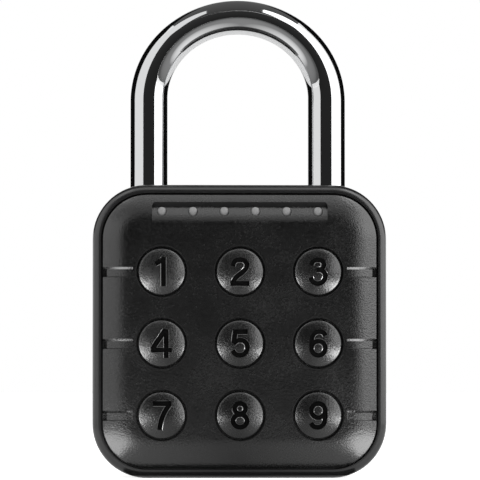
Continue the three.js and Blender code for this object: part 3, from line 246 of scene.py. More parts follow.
def fine_grain_group():
    """Grain of a moulded, coated or ground surface: its colour, gloss and height, a bit uneven."""
    group = bpy.data.node_groups.new("fine_grain", "ShaderNodeTree")
    socket(group, "Color", "INPUT", "Color", (0.5, 0.5, 0.5, 1))
    socket(group, "Color Spread", "INPUT", "Float", 0.15)
    socket(group, "Grains per Metre", "INPUT", "Float", 3000)
    socket(group, "Clouds per Metre", "INPUT", "Float", 90)
    socket(group, "Stretch", "INPUT", "Vector", (1, 1, 1))
    socket(group, "Roughness", "INPUT", "Float", 0.4)
    socket(group, "Roughness Spread", "INPUT", "Float", 0.1)
    socket(group, "Color", "OUTPUT", "Color")
    socket(group, "Roughness", "OUTPUT", "Float")
    socket(group, "Height", "OUTPUT", "Float")
    nodes, link = group.nodes, group.links.new
    given, result = nodes.new("NodeGroupInput"), nodes.new("NodeGroupOutput")
    place = nodes.new("ShaderNodeTexCoord")
    stretched = nodes.new("ShaderNodeVectorMath")
    stretched.operation = "MULTIPLY"
    link(place.outputs["Object"], stretched.inputs[0])
    link(given.outputs["Stretch"], stretched.inputs[1])
    grain, clouds = nodes.new("ShaderNodeTexNoise"), nodes.new("ShaderNodeTexNoise")
    for noise, size, detail in ((grain, "Grains per Metre", 2), (clouds, "Clouds per Metre", 4)):
        link(stretched.outputs[0], noise.inputs["Vector"])
        link(given.outputs[size], noise.inputs["Scale"])
        noise.inputs["Detail"].default_value = detail
    both = nodes.new("ShaderNodeMath")
    both.operation = "ADD"
    link(grain.outputs[0], both.inputs[0])
    link(clouds.outputs[0], both.inputs[1])
    uneven = nodes.new("ShaderNodeMath")
    uneven.operation = "SUBTRACT"
    uneven.inputs[1].default_value = 1
    link(both.outputs[0], uneven.inputs[0])
    tone = nodes.new("ShaderNodeMath")
    tone.operation = "MULTIPLY_ADD"
    tone.inputs[2].default_value = 1
    link(uneven.outputs[0], tone.inputs[0])
    link(given.outputs["Color Spread"], tone.inputs[1])
    tinted = nodes.new("ShaderNodeVectorMath")
    tinted.operation = "SCALE"
    link(given.outputs["Color"], tinted.inputs[0])
    link(tone.outputs[0], tinted.inputs["Scale"])
    gloss = nodes.new("ShaderNodeMath")
    gloss.operation = "MULTIPLY_ADD"
    gloss.use_clamp = True
    link(uneven.outputs[0], gloss.inputs[0])
    link(given.outputs["Roughness Spread"], gloss.inputs[1])
    link(given.outputs["Roughness"], gloss.inputs[2])
    link(tinted.outputs[0], result.inputs["Color"])
    link(gloss.outputs[0], result.inputs["Roughness"])
    link(grain.outputs[0], result.inputs["Height"])
    return group


fine_grain = fine_grain_group()


def finish(name, color, roughness, grains, bump, spread=0.25, uneven=0.1, clouds=90,
           stretch=(1, 1, 1), metallic=0, specular=0.5, ior=1.5, depth=0.02):
    """A material whose colour, gloss and relief come from the fine grain, at its own sizes."""
    made = bpy.data.materials.new(name)
    made.use_nodes = True
    nodes, link = made.node_tree.nodes, made.node_tree.links.new
    shader = nodes["Principled BSDF"]
    shader.inputs["Metallic"].default_value = metallic
    shader.inputs["Specular IOR Level"].default_value = specular
    shader.inputs["IOR"].default_value = ior
    grain = nodes.new("ShaderNodeGroup")
    grain.node_tree = fine_grain
    grain.inputs["Color"].default_value = (*color, 1)
    grain.inputs["Color Spread"].default_value = spread
    grain.inputs["Grains per Metre"].default_value = grains
    grain.inputs["Clouds per Metre"].default_value = clouds
    grain.inputs["Stretch"].default_value = stretch
    grain.inputs["Roughness"].default_value = roughness
    grain.inputs["Roughness Spread"].default_value = uneven
    relief = nodes.new("ShaderNodeBump")
    relief.inputs["Strength"].default_value = bump
    relief.inputs["Distance"].default_value = depth * mm
    link(grain.outputs["Color"], shader.inputs["Base Color"])
    link(grain.outputs["Roughness"], shader.inputs["Roughness"])
    link(grain.outputs["Height"], relief.inputs["Height"])
    link(relief.outputs["Normal"], shader.inputs["Normal"])
    return made


def dress(piece, material):
    piece.data.materials.clear()
    piece.data.materials.append(material)


def dress_nodes(material, *names):
    """Gives CAD nodes that keep their shape a better material in their own slots."""
    for name in names:
        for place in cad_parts[name].material_slots:
            place.material = material


powder_coat = finish(
    "powder_coat", (0.008, 0.008, 0.0083), roughness=0.3, grains=2600, bump=0.5, specular=0.8,
    depth=0.01,
)
coat = powder_coat.node_tree.nodes["Principled BSDF"].inputs
coat["Coat Weight"].default_value = 0.7
coat["Coat Roughness"].default_value = 0.12
dress(body, powder_coat)

# ---------------------------------------------------------------------------------------------
# Front panel. An injection-moulded black cover with a flat field and a border that falls away in
# an arc. It carries nine key holes, the recess of the lights and six grooves, and is screwed from
# behind through its bosses.
panel_inset = 2.125
panel_back = 8.2
panel_inner = 10.0
field = 12.2
border = 6.35
border_radius = 15.1
edge_round = 0.25
above = 13.2
pitch_x = 16.45
pitch_y = 15.1
lowest_row = 13.2
light_row = 56.1
key_places = [
    (pitch_x * column, lowest_row + pitch_y * row) for row in (2, 1, 0) for column in (-1, 0, 1)
]


def drawn(points):
    """In edit mode, a line drawn from point to point, in millimetres."""
    bpy.ops.object.select_all(action="DESELECT")
    bpy.ops.mesh.primitive_plane_add(size=mm)
    edit(bpy.context.object)
    bpy.ops.mesh.select_mode(type="VERT")
    bpy.ops.mesh.select_all(action="SELECT")
    bpy.ops.mesh.merge(type="CENTER")
    path = [Vector(point) * mm for point in points]
    bpy.ops.transform.translate(value=path[0])
    for here, there in zip(path, path[1:]):
        bpy.ops.mesh.extrude_region_move(TRANSFORM_OT_translate={"value": there - here})


def close_up():
    """Merges doubled corners and turns every face outwards."""
    bpy.ops.mesh.select_all(action="SELECT")
    bpy.ops.mesh.remove_doubles(threshold=1e-7)
    bpy.ops.mesh.normals_make_consistent(inside=False)
    return done()


def turned(profile, x, y, sides=96):
    """A profile of radii and heights turned about an axis that stands out of the face."""
    drawn([(x + radius, y, height) for radius, height in profile])
    bpy.ops.mesh.select_all(action="SELECT")
    bpy.ops.mesh.spin(steps=sides, angle=2 * math.pi, center=(x * mm, y * mm, 0), axis=(0, 0, 1))
    return close_up()


def turned_up(profile, x, z, sides=96):
    """A profile of radii and heights turned about an axis along the legs of the shackle."""
    drawn([(x + radius, height, z) for radius, height in profile])
    bpy.ops.mesh.select_all(action="SELECT")
    bpy.ops.mesh.spin(steps=sides, angle=2 * math.pi, center=(x * mm, 0, z * mm), axis=(0, 1, 0))
    return close_up()


def pushed(points, along):
    """A closed outline pushed along a direction."""
    drawn(points + points[:1])
    bpy.ops.mesh.select_all(action="SELECT")
    bpy.ops.mesh.remove_doubles(threshold=1e-7)
    bpy.ops.mesh.edge_face_add()
    bpy.ops.mesh.extrude_region_move(TRANSFORM_OT_translate={"value": Vector(along) * mm})
    return close_up()


def border_height(run):
    """The height of the falling border, from where it leaves the flat field."""
    return field - border_radius + math.sqrt(border_radius ** 2 - run ** 2)


def panel_shell():
    """The cover's outside: walls, a small edge round, the falling border and the flat field."""
    lean = math.asin(border / border_radius)
    meet = edge_round * (1 - math.sin(lean))
    round_low = border_height(border - meet) - edge_round * math.cos(lean)
    levels = []
    for step in range(1, 5):
        turn = (math.pi / 2 - lean) * step / 4
        inset = edge_round * (1 - math.cos(turn))
        levels.append((inset, round_low + edge_round * math.sin(turn)))
    for step in range(1, 25):
        run = (border - meet) * (1 - step / 24)
        levels.append((border - run, border_height(run)))
    made = body_block(panel_inset, (panel_back, round_low), steps=24)
    edit(made)
    pick("FACE", lambda face: face.normal.z > 0.9)
    before, height = 0, round_low
    for inset, level in levels:
        bpy.ops.mesh.inset(thickness=(inset - before) * mm, depth=(level - height) * mm)
        before, height = inset, level
    return done()


def key_hole(x, y):
    """A key's hole, its edge rounded over; its wall and round take a duller black, painted shade.
    """
    mouth = hole_radius + edge_round
    profile = [(0, 9), (hole_radius, 9)]
    for step in range(6):
        turn = math.pi / 2 * step / 5
        profile.append((
            mouth - edge_round * math.cos(turn), field - edge_round + edge_round * math.sin(turn)
        ))
    made = turned(profile + [(mouth, above), (0, above)], x, y)
    dress(made, painted_shade_black)
    return made


def light_recess():
    """The sunken row of the lights: its floor falls faster than the border, to a sloping wall,
    which takes a duller black, painted shade.
    """
    low = field_top
    foot = light_row + 1.1
    floor = []
    for step in range(13):
        run = (foot - low) * step / 12
        height = border_height(run) - recess_depth * (step / 12) ** 2
        floor.append((-recess_half, low + run, height))
    lip = foot + wall_run / recess_depth * (above - floor[-1][2])
    ends = [(-recess_half, lip, above), (-recess_half, low, above)]
    scoop = pushed(floor + ends, (2 * recess_half, 0, 0))
    far = foot + wall_run
    outline = round_block((-recess_half, recess_half), (2 * low - far, far), (10, 14), 1.5)
    made = work(scoop, "INTERSECT", [outline])
    dress(made, moulded_black)
    # The sloping wall takes the duller black: painted shade.
    made.data.materials.append(painted_shade_black)
    for face in made.data.polygons:
        face.material_index = 1 if face.normal.y > 0.3 else 0
    return made


def side_groove(side, y):
    """A groove beside a row of keys. Its lower wall is steep and its upper wall slopes."""
    foot = y - groove_below
    floor = []
    for step in range(13):
        run = border * step / 12
        height = border_height(run) - groove_depth - groove_fall * run / border
        floor.append((side * (field_side + run), foot, height))
    end = side * body_half
    floor += [(end, foot, groove_end), (end, foot, above), (side * field_side, foot, above)]
    made = pushed(floor, (0, groove_below + groove_over, 0))
    edit(made)
    for facing, lean in ((1, upper_slope), (-1, -lower_slope)):
        pick("FACE", lambda face: face.normal.y * facing > 0.9)
        bpy.ops.mesh.extrude_region_move(TRANSFORM_OT_translate={"value": (0, lean * mm, 0)})
    done()
    # The outer corners of both slopes come up to just over the falling border.
    for corner in made.data.vertices:
        if not (y - 1.01) * mm < corner.co.y < (y + 0.9) * mm and corner.co.z < 13 * mm:
            run = min(abs(corner.co.x) / mm - field_side, border)
            corner.co.z = (border_height(run) + 0.02) * mm
    return made


def sharp_lip(edge):
    """The edges of the grooves and of the lights' recess, but not the rims of the light bores."""
    if len(edge.link_faces) < 2 or edge.calc_face_angle() < math.radians(18):
        return False
    x, y, z = ((edge.verts[0].co + edge.verts[1].co) / 2 / mm)[:]
    on_face = z > 9.8 and abs(x) < 28.7
    in_groove = abs(x) > field_side - 0.1 and min(abs(y - row - 0.25) for row in groove_rows) < 1.1
    in_recess = abs(x) < recess_half + 0.1 and y > field_top + 0.5
    near_light = min(math.hypot(x - column, y - row) for column, row in light_places) < 1.25
    return on_face and (in_groove or in_recess and not near_light)


field_top = body_height - panel_inset - border
field_side = body_half - panel_inset - border
light_places = [(pitch_x * (step / 2.5 - 1), light_row) for step in range(6)]
groove_rows = [lowest_row + pitch_y * row for row in range(3)]
board_screws = [(x, y) for y in (20.75, 35.85) for x in (-8.225, 8.225)]
hole_radius = 5.3
recess_half = 18.5
recess_depth = 0.9
wall_run = 1.3
groove_below = 1
groove_over = 0.5
groove_depth = 0.22
groove_fall = 0.33
groove_end = 10.25
upper_slope = 0.5
lower_slope = 0.16
end_cut = 27.975
light_bore = 1.0
lip_bevel = 0.12
boss_radius = 1.9
boss_top = panel_inner + 0.1
boss_bore = 1.1
moulded_black = finish(
    "moulded_black", (0.004, 0.004, 0.004), roughness=0.22, grains=3000, bump=1.0, uneven=0.3,
    specular=1.0, ior=1.6, depth=0.042,
)
# A duller copy of the black moulding, for the walls of the key holes and of the lights' recess:
# painted shade.
painted_shade_black = finish(
    "painted_shade_black", (0.004, 0.004, 0.004), roughness=0.6, grains=3000, bump=0.5, specular=0.3
)
# A glossier copy of the black moulding, with a higher IOR, for the lips of grooves, recess and
# numbers: painted highlight on real rounds.
painted_highlight_black = finish(
    "painted_highlight_black", (0.006, 0.006, 0.006), roughness=0.16, grains=3400, bump=0.2, specular=1.0,
    ior=1.9,
)
panel = panel_shell()
dress(panel, moulded_black)
work(panel, "DIFFERENCE", [body_block(panel_inset + 1.9, (7, panel_inner))])
work(panel, "UNION", [
    *[rod_out(boss_radius, x, y, (5.4, boss_top)) for x, y in board_screws],
    *[rod_out(boss_radius, x, y, (7.1, boss_top)) for x, y in panel_screws],
])
work(panel, "DIFFERENCE", [
    light_recess(),
    *[key_hole(x, y) for x, y in key_places],
    *[rod_out(light_bore, x, y, (9, 13), 48) for x, y in light_places],
    *[side_groove(side, y) for side in (-1, 1) for y in groove_rows],
    *[block(x, (y - groove_below, y + groove_over), (9.3, 13))
      for x in ((-body_half, -end_cut), (end_cut, body_half)) for y in groove_rows],
    *[rod_out(boss_bore, x, y, (4, 8.4)) for x, y in board_screws],
    *[rod_out(boss_bore, x, y, (6, 9.4)) for x, y in panel_screws],
])
# The bevelled lips of the grooves and recess are real rounds; their glossier black is a painted
# highlight.
panel.data.materials.append(painted_highlight_black)
edit(panel)
pick("EDGE", sharp_lip)
bpy.ops.mesh.bevel(
    offset=lip_bevel * mm, segments=2, profile=0.5, affect="EDGES", clamp_overlap=True,
    material=len(panel.data.materials) - 1,
)
done()
finish_shape(panel, "keypad_cover")
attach(panel, "body")
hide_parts("front_panel")

# ---------------------------------------------------------------------------------------------
# Keys. Nine domed caps of the same black moulding, each with a flange behind the cover that stops
# it and a foot that presses the mat. The numbers are sunk into the domes. Their floors and walls
# take a darker, duller black, painted shade, and their lips a glossier black, painted highlight.
key_radius = 4.9
key_foot = 7.9
foot_radius = 2.2
flange_low = 8.9
flange_top = 9.9
flange_radius = 6.2
crown = 13.0
dome_radius = 14.549
dome_edge = 4.7
lip_round = 0.3
stroke_width = 0.86
stroke_depth = 0.45
cutter_half = 0.5


def dome_height(r):
    """The height of the dome at a distance from its middle."""
    return crown - dome_radius + math.sqrt(dome_radius ** 2 - r ** 2)


def key_cap():
    """Foot, flange, wall, a small round and the dome, turned in one piece."""
    profile = [
        (0, key_foot), (foot_radius, key_foot), (foot_radius, flange_low),
        (flange_radius, flange_low), (flange_radius, flange_top), (key_radius, flange_top),
    ]
    lean = math.asin(dome_edge / dome_radius)
    join = key_radius - lip_round * (1 - math.sin(lean))
    middle = dome_height(join) - lip_round * math.cos(lean)
    for step in range(5):
        turn = (math.pi / 2 - lean) * step / 4
        out = key_radius - lip_round + lip_round * math.cos(turn)
        profile.append((out, middle + lip_round * math.sin(turn)))
    for step in range(1, 15):
        out = join * (1 - step / 14)
        profile.append((out, dome_height(out)))
    return turned(profile, 0, 0)


def oval(x, y, wide, high):
    """A closed stroke of twelve points."""
    turns = [2 * math.pi * step / 12 for step in range(12)]
    line = [(x + wide * math.cos(turn), y + high * math.sin(turn)) for turn in turns]
    return line + line[:1]


def stroke(points):
    """A flat-ended milling path over the dome, along the middle of one stroke of a number."""
    closed = points[0] == points[-1]
    if closed:
        points = points[:-1]
    bpy.ops.object.select_all(action="DESELECT")
    bpy.ops.curve.primitive_bezier_curve_add()
    made = bpy.context.object
    line = made.data
    line.bevel_mode = "OBJECT"
    line.bevel_object = cutter_end
    line.twist_mode = "Z_UP"
    line.resolution_u = 5
    line.use_fill_caps = True
    path = line.splines[0]
    path.bezier_points.add(len(points) - 2)
    path.use_cyclic_u = closed
    for spot, (x, y) in zip(path.bezier_points, points):
        height = dome_height(math.hypot(x, y)) + cutter_half - stroke_depth
        spot.co = Vector((x, y, height)) * mm
        spot.handle_left_type = spot.handle_right_type = "AUTO" if len(points) > 2 else "VECTOR"
    bpy.ops.object.convert(target="MESH")
    edit(bpy.context.object)
    made = close_up()
    # The cut's floor and walls get the darker black, painted shade; its sloping lips the glossier
    # black, painted highlight.
    dress(made, painted_shade_stroke_black)
    made.data.materials.append(painted_highlight_black)
    for face in made.data.polygons:
        face.material_index = 1 if -0.97 < face.normal.z < -0.1 else 0
    return made


six = [
    [(1.5, 1.6), (1.15, 2.2), (0.4, 2.5), (-0.5, 2.35), (-1.15, 1.7), (-1.42, 0.6), (-1.43, -0.7)],
    oval(0.02, -1.0, 1.45, 1.48),
]
numbers = [
    [[(0.35, -3.05), (0.35, 3.05)], [(0.55, 2.9), (-0.3, 2.2), (-1.35, 1.65)]],
    [[(-1.5, 1.15), (-1.35, 1.8), (-0.8, 2.35), (0, 2.5), (0.85, 2.3), (1.35, 1.75), (1.4, 1.1),
      (1.05, 0.4), (0.3, -0.3), (-0.6, -1.0), (-1.2, -1.7), (-1.45, -2.45)],
     [(-2.0, -2.47), (1.95, -2.47)]],
    [[(-1.45, 1.35), (-1.2, 2.0), (-0.6, 2.42), (0, 2.5), (0.75, 2.3), (1.15, 1.75), (1.1, 1.1),
      (0.7, 0.6), (0.1, 0.42), (-0.35, 0.4)],
     [(-0.35, 0.4), (0.3, 0.38), (1.0, 0.1), (1.45, -0.6), (1.4, -1.4), (0.95, -2.1), (0.1, -2.48),
      (-0.75, -2.35), (-1.35, -1.8), (-1.55, -1.2)]],
    [[(0.95, -3.05), (0.95, 3.0)], [(0.75, 2.9), (-2.0, -1.2)], [(-2.3, -1.4), (2.1, -1.4)]],
    [[(-0.9, 2.47), (1.6, 2.47)], [(-0.95, 2.9), (-1.35, 0)],
     [(-1.35, -0.05), (-0.75, 0.5), (0.1, 0.68), (1.0, 0.35), (1.5, -0.5), (1.4, -1.5),
      (0.8, -2.25), (-0.1, -2.48), (-1.0, -2.2), (-1.55, -1.5)]],
    six,
    [[(-1.85, 2.47), (1.95, 2.47)],
     [(1.7, 2.3), (0.9, 1.2), (0.2, -0.2), (-0.25, -1.6), (-0.45, -3.05)]],
    [oval(0, 1.4, 1.15, 1.1), oval(0, -1.15, 1.45, 1.33)],
    [[(-x, -y) for x, y in line] for line in six],
]
key_black = finish(
    "key_black", (0.004, 0.004, 0.004), roughness=0.26, grains=3000, bump=1.0, uneven=0.3,
    specular=1.0, ior=1.55, depth=0.038,
)
# A darker, duller copy of the key's black, for the floors and walls of the numbers: painted shade.
painted_shade_stroke_black = finish(
    "painted_shade_stroke_black", (0.002, 0.002, 0.002), roughness=0.6, grains=3400, bump=0.3, specular=0.05
)
bpy.ops.object.select_all(action="DESELECT")
bpy.ops.curve.primitive_bezier_circle_add()
cutter_end = bpy.context.object
half_width = stroke_width / 2
lip_foot = stroke_depth - (cutter_half + lip_round)
flank = [(half_width, -cutter_half)]
for step in range(6):
    turn = math.pi / 2 * step / 5
    out = half_width + lip_round * (1 - math.cos(turn))
    flank.append((out, lip_foot + lip_round * math.sin(turn)))
flank.append((half_width + lip_round, cutter_half))
flank += [(-across, along) for across, along in reversed(flank)]
end_line = cutter_end.data.splines[0]
end_line.bezier_points.add(len(flank) - len(end_line.bezier_points))
for spot, (across, along) in zip(end_line.bezier_points, flank):
    spot.handle_left_type = spot.handle_right_type = "VECTOR"
    spot.co = (across * mm, along * mm, 0)
cutter_end.data.resolution_u = 1


def again(piece, shift):
    """A copy with its own mesh, set down elsewhere."""
    bpy.ops.object.select_all(action="DESELECT")
    piece.select_set(True)
    bpy.context.view_layer.objects.active = piece
    bpy.ops.object.duplicate()
    made = bpy.context.object
    made.location = Vector(shift) * mm
    bpy.ops.object.transform_apply()
    return made


blank = key_cap()
dress(blank, key_black)
for index, ((x, y), lines) in enumerate(zip(key_places, numbers), 1):
    key = again(blank, (0, 0, 0))
    work(key, "DIFFERENCE", [stroke(line) for line in lines])
    key.location = (x * mm, y * mm, 0)
    finish_shape(key, f"number_key_{index}")
    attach(key, f"key_{index}")
    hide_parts(f"key_{index}")
bpy.data.objects.remove(blank)
bpy.data.objects.remove(cutter_end)

# ---------------------------------------------------------------------------------------------
# Lights. A bar with six domed pins, moulded in one piece of milky acrylic. It lies behind the
# cover and its pins fill the bores.
pin_radius = 0.95
pin_tip = 11.3
tip_rise = 0.25


def light_pin(x, y):
    """A pin whose end is domed."""
    profile = [(0, 9), (pin_radius, 9)]
    for step in range(6):
        turn = math.pi / 2 * step / 5
        height = pin_tip - tip_rise + tip_rise * math.sin(turn)
        profile.append((pin_radius * math.cos(turn), height))
    return turned(profile, x, y, 48)


lights = round_block((-18.85, 18.85), (54.9, 57.3), (8.4, 9.9), 1.19)
work(lights, "UNION", [light_pin(x, y) for x, y in light_places])
milky_acrylic = finish(
    "milky_acrylic", (0.35, 0.35, 0.35), roughness=0.5, grains=1500, bump=0.1, spread=0.1,
    specular=0.3,
)
dress(lights, milky_acrylic)
finish_shape(lights, "light_pins")
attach(lights, "body")
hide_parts("light_guide")

# ---------------------------------------------------------------------------------------------
# Shackle. An 8 mm bar of hardened steel, bent to a bow, notched for the bolts and turned down to a
# neck on its long leg, then polished and chromed.
bar_radius = 4
spring_line = 80.6
bow_height = 17.803
thinning = 0.0875
heel_end = 21.6
toe_end = 49.3
chamfer = 0.8
neck_radius = 2.35
neck_low = 25.6
neck_top = 46.3
notch_floor = 16.65
notch_open = 14.6
notch = ((50.9, 55.5), (-7.5, 1.5))


def bent_bar():
    """Half a ring swept from leg to leg, its legs drawn down and its ends chamfered."""
    bpy.ops.object.select_all(action="DESELECT")
    bpy.ops.mesh.primitive_circle_add(
        vertices=96, radius=bar_radius * mm, rotation=(math.pi / 2, 0, 0),
        location=(-leg * mm, spring_line * mm, shackle_plane * mm),
    )
    bpy.ops.object.transform_apply()
    edit(bpy.context.object)
    bpy.ops.mesh.select_all(action="SELECT")
    bpy.ops.mesh.spin(
        steps=96, angle=math.pi, axis=(0, 0, 1),
        center=(0, spring_line * mm, shackle_plane * mm),
    )
    narrowed = (bar_radius - chamfer) / bar_radius
    for side, end in ((-1, heel_end), (1, toe_end)):
        pick("EDGE", lambda edge: all(
            abs(v.co.y - spring_line * mm) < 1e-6 and v.co.x * side > 0 for v in edge.verts))
        for fall in (end + chamfer - spring_line, -chamfer):
            bpy.ops.mesh.extrude_region_move(TRANSFORM_OT_translate={"value": (0, fall * mm, 0)})
        foot = (side * leg * mm, end * mm, shackle_plane * mm)
        bpy.ops.transform.resize(value=(narrowed, 1, narrowed), center_override=foot)
        bpy.ops.mesh.edge_face_add()
    return close_up()


def flatten_bow(bar):
    """The bow is a little lower than a half circle, and bending thins it at the top."""
    for corner in bar.data.vertices:
        x, rise = corner.co.x / mm, corner.co.y / mm - spring_line
        if rise > 1e-6:
            turn = math.atan2(rise, x)
            out = Vector((bow_height * math.cos(turn), leg * math.sin(turn))).normalized()
            reach = (math.hypot(x, rise) - leg) * (1 - thinning * math.sin(turn))
            corner.co.x = (leg * math.cos(turn) + out.x * reach) * mm
            corner.co.y = (spring_line + bow_height * math.sin(turn) + out.y * reach) * mm


shackle = bent_bar()
flatten_bow(shackle)
work(shackle, "DIFFERENCE", [
    turned_up([
        (neck_radius, neck_low), (5, neck_low), (5, neck_top), (bar_radius, neck_top),
        (neck_radius, 44.8), (neck_radius, neck_low),
    ], -leg, shackle_plane),
    block((-notch_floor, -notch_open), *notch),
    block((notch_open, notch_floor), *notch),
])
chrome = finish(
    "polished_chrome", (0.80, 0.805, 0.81), roughness=0.045, grains=900, bump=0.02, spread=0.02,
    uneven=0.03, metallic=1, depth=0.005,
)
dress(shackle, chrome)
finish_shape(shackle, "chromed_shackle")
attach(shackle, "shackle")
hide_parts("shackle")

# ---------------------------------------------------------------------------------------------
# Rubber. A ring around each leg, trimmed to the shoulder of the body, a plug in the charging port
# with a notch for a fingernail, and the gasket behind the cover.
ring_inner = 4.1
ring_outer = 5.2
ring_low = 59.8
ring_top = 62.8
plug_face = (12.6, 6.0)
plug_stem = (9.3, 3.6)
plug_round = 0.3
nail_notch = 2.2
rubber = finish(
    "black_rubber", (0.016, 0.016, 0.016), roughness=0.6, grains=2200, bump=0.5, specular=0.4
)
for side, name in ((-1, "left"), (1, "right")):
    ring = turned_up([
        (ring_inner, ring_low), (ring_outer, ring_low), (ring_outer, ring_top),
        (ring_inner, ring_top), (ring_inner, ring_low),
    ], side * leg, shackle_plane)
    work(ring, "INTERSECT", [rounded_body()])
    dress(ring, rubber)
    finish_shape(ring, f"{name}_leg_ring")
    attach(ring, "body")
    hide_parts(f"{name}_shackle_seal")

plug = slot_block(*plug_face, (0.15, 1.1))
edit(plug)
pick("EDGE", lambda edge: all(v.co.y < 0.2 * mm for v in edge.verts))
bpy.ops.mesh.bevel(offset=plug_round * mm, segments=4, profile=0.5, affect="EDGES")
done()
work(plug, "UNION", [slot_block(*plug_stem, (1.0, 2.3))])
work(plug, "DIFFERENCE", [rod_up(nail_notch, 0, (-1, 0.5), 6.4)])
dress(plug, rubber)
finish_shape(plug, "charging_port_plug")
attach(plug, "port_plug")
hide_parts("port_plug")
dress_nodes(rubber, "panel_gasket")

# ---------------------------------------------------------------------------------------------
# Cover screws. Four zinc-plated steel screws with hexagon sockets, sunk into the back of the body
# and driven through its pillars into the bosses of the cover.
shank_radius = 1
head_radius = 1.9
head_under = -11.6
head_top = -12.7
hexagon_radius = 0.95
plated_steel = finish(
    "plated_steel", (0.40, 0.41, 0.42), roughness=0.3, grains=2500, bump=0.15, spread=0.1,
    uneven=0.15, metallic=1,
)
screw = turned([
    (0, 9.2), (0.5, 9.2), (shank_radius, 8.7), (shank_radius, head_under),
    (head_radius, head_under), (head_radius, -12.4), (1.8, -12.6), (1.6, head_top), (0, head_top),
], 0, 0, 48)
work(screw, "DIFFERENCE", [rod_out(hexagon_radius, 0, 0, (back, -12.0), 6)])
dress(screw, plated_steel)
for index, (x, y) in enumerate(panel_screws, 1):
    made = again(screw, (x, y, 0))
    finish_shape(made, f"cover_screw_{index}")
    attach(made, "body")
    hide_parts(f"panel_screw_{index}")
bpy.data.objects.remove(screw)
dress_nodes(
    plated_steel, "keeper_pin", "lift_spring", "block_cover", "left_bolt", "right_bolt",
    "output_shaft", "motor_can", "motor_strap", "charge_socket", "left_block_screw",
    "right_block_screw", "left_strap_screw", "right_strap_screw", "board_screw_1",
    "board_screw_2", "board_screw_3", "board_screw_4",
)

# ---------------------------------------------------------------------------------------------
# Keypad mat and control board. A grey silicone mat with a hollow dome under each key lies on the
# green circuit board.
grey_silicone = finish(
    "grey_silicone", (0.27, 0.29, 0.30), roughness=0.55, grains=1800, bump=0.3, spread=0.12
)
solder_mask = finish(
    "solder_mask", (0.012, 0.07, 0.025), roughness=0.3, grains=1200, bump=0.3, spread=0.5,
    clouds=400,
)
dress_nodes(grey_silicone, "keypad_mat")
dress_nodes(solder_mask, "control_board")

# ---------------------------------------------------------------------------------------------
# Lock work. A raw zinc casting guides the bolts over a machined brass cam, which a gear motor in a
# black nylon cradle turns.
raw_zinc = finish(
    "raw_zinc", (0.27, 0.28, 0.29), roughness=0.45, grains=1400, bump=0.5, spread=0.2,
    uneven=0.2, metallic=1,
)
machined_brass = finish(
    "machined_brass", (0.53, 0.33, 0.08), roughness=0.28, grains=1500, bump=0.2, spread=0.1,
    stretch=(1, 1, 6), metallic=1,
)
nylon = finish("black_nylon", (0.026, 0.026, 0.028), roughness=0.5, grains=2000, bump=0.3)
dress_nodes(raw_zinc, "bolt_block")
dress_nodes(machined_brass, "scroll_cam", "gearbox")
dress_nodes(nylon, "motor_cradle")

# ---------------------------------------------------------------------------------------------
# Battery. A flat foil-wrapped cell under the motor, held against the back of the body by a strip of
# closed-cell foam.
foil = finish(
    "battery_foil", (0.48, 0.50, 0.55), roughness=0.3, grains=500, bump=0.4, spread=0.1,
    uneven=0.2, metallic=1, depth=0.05,
)
foam = finish(
    "black_foam", (0.04, 0.04, 0.04), roughness=0.85, grains=1300, bump=1.0, spread=0.4, depth=0.1
)
dress_nodes(foil, "battery")
dress_nodes(foam, "battery_pad")

# ---------------------------------------------------------------------------------------------
# Studio, in metres. A white floor and sky, and soft boxes at the sides and above. Small lamps near
# the face light only the body, the cover or the keys. Dark cards, seen in reflections alone, draw
# the bands in the chrome, and so do pools of light on the floor.
camera_azimuth = math.radians(-1.84)
camera_elevation = math.radians(-2)
face_depth = -0.0122
aim_height = 0.0498
camera_reach = 0.812
frame_width = 0.101
picture_pixels = 480
pixels_down = 1.25
camera = bpy.data.objects.new("camera", bpy.data.cameras.new("camera"))
bpy.context.scene.collection.objects.link(camera)
bpy.context.scene.camera = camera
away = Vector((
    math.sin(camera_azimuth) * math.cos(camera_elevation),
    -math.cos(camera_azimuth) * math.cos(camera_elevation),
    math.sin(camera_elevation),
))
aim = Vector((0, face_depth, aim_height))
camera.location = aim + away * camera_reach
camera.rotation_euler = (-away).to_track_quat("-Z", "Y").to_euler()
camera.data.sensor_width = 36
camera.data.lens = camera.data.sensor_width * camera_reach / frame_width
camera.data.clip_start = 0.01
camera.data.shift_y = pixels_down / picture_pixels


def card(name, place, towards, wide, high, shine, rise=0):
    """A flat card facing a point, seen only in reflections. Its shine may rise along its height."""
    bpy.ops.object.select_all(action="DESELECT")
    bpy.ops.mesh.primitive_plane_add(size=1)
    made = bpy.context.object
    made.name = name
    made.scale = (wide, high, 1)
    made.location = place
    made.rotation_euler = (Vector(place) - Vector(towards)).to_track_quat("Z", "Y").to_euler()
    made.visible_camera = False
    made.visible_shadow = False
    made.visible_diffuse = False
    shade = bpy.data.materials.new(name)
    shade.use_nodes = True
    nodes, link = shade.node_tree.nodes, shade.node_tree.links.new
    plain = nodes["Principled BSDF"]
    plain.inputs["Base Color"].default_value = (0, 0, 0, 1)
    plain.inputs["Specular IOR Level"].default_value = 0
    plain.inputs["Emission Color"].default_value = (1, 1, 1, 1)
    spot = nodes.new("ShaderNodeTexCoord")
    parts = nodes.new("ShaderNodeSeparateXYZ")
    run = nodes.new("ShaderNodeMapRange")
    link(spot.outputs["Object"], parts.inputs[0])
    link(parts.outputs["Y"], run.inputs["Value"])
    run.inputs["From Min"].default_value = -0.5
    run.inputs["From Max"].default_value = 0.5
    run.inputs["To Min"].default_value = shine - rise / 2
    run.inputs["To Max"].default_value = shine + rise / 2
    link(run.outputs[0], plain.inputs["Emission Strength"])
    made.data.materials.append(shade)
    return made


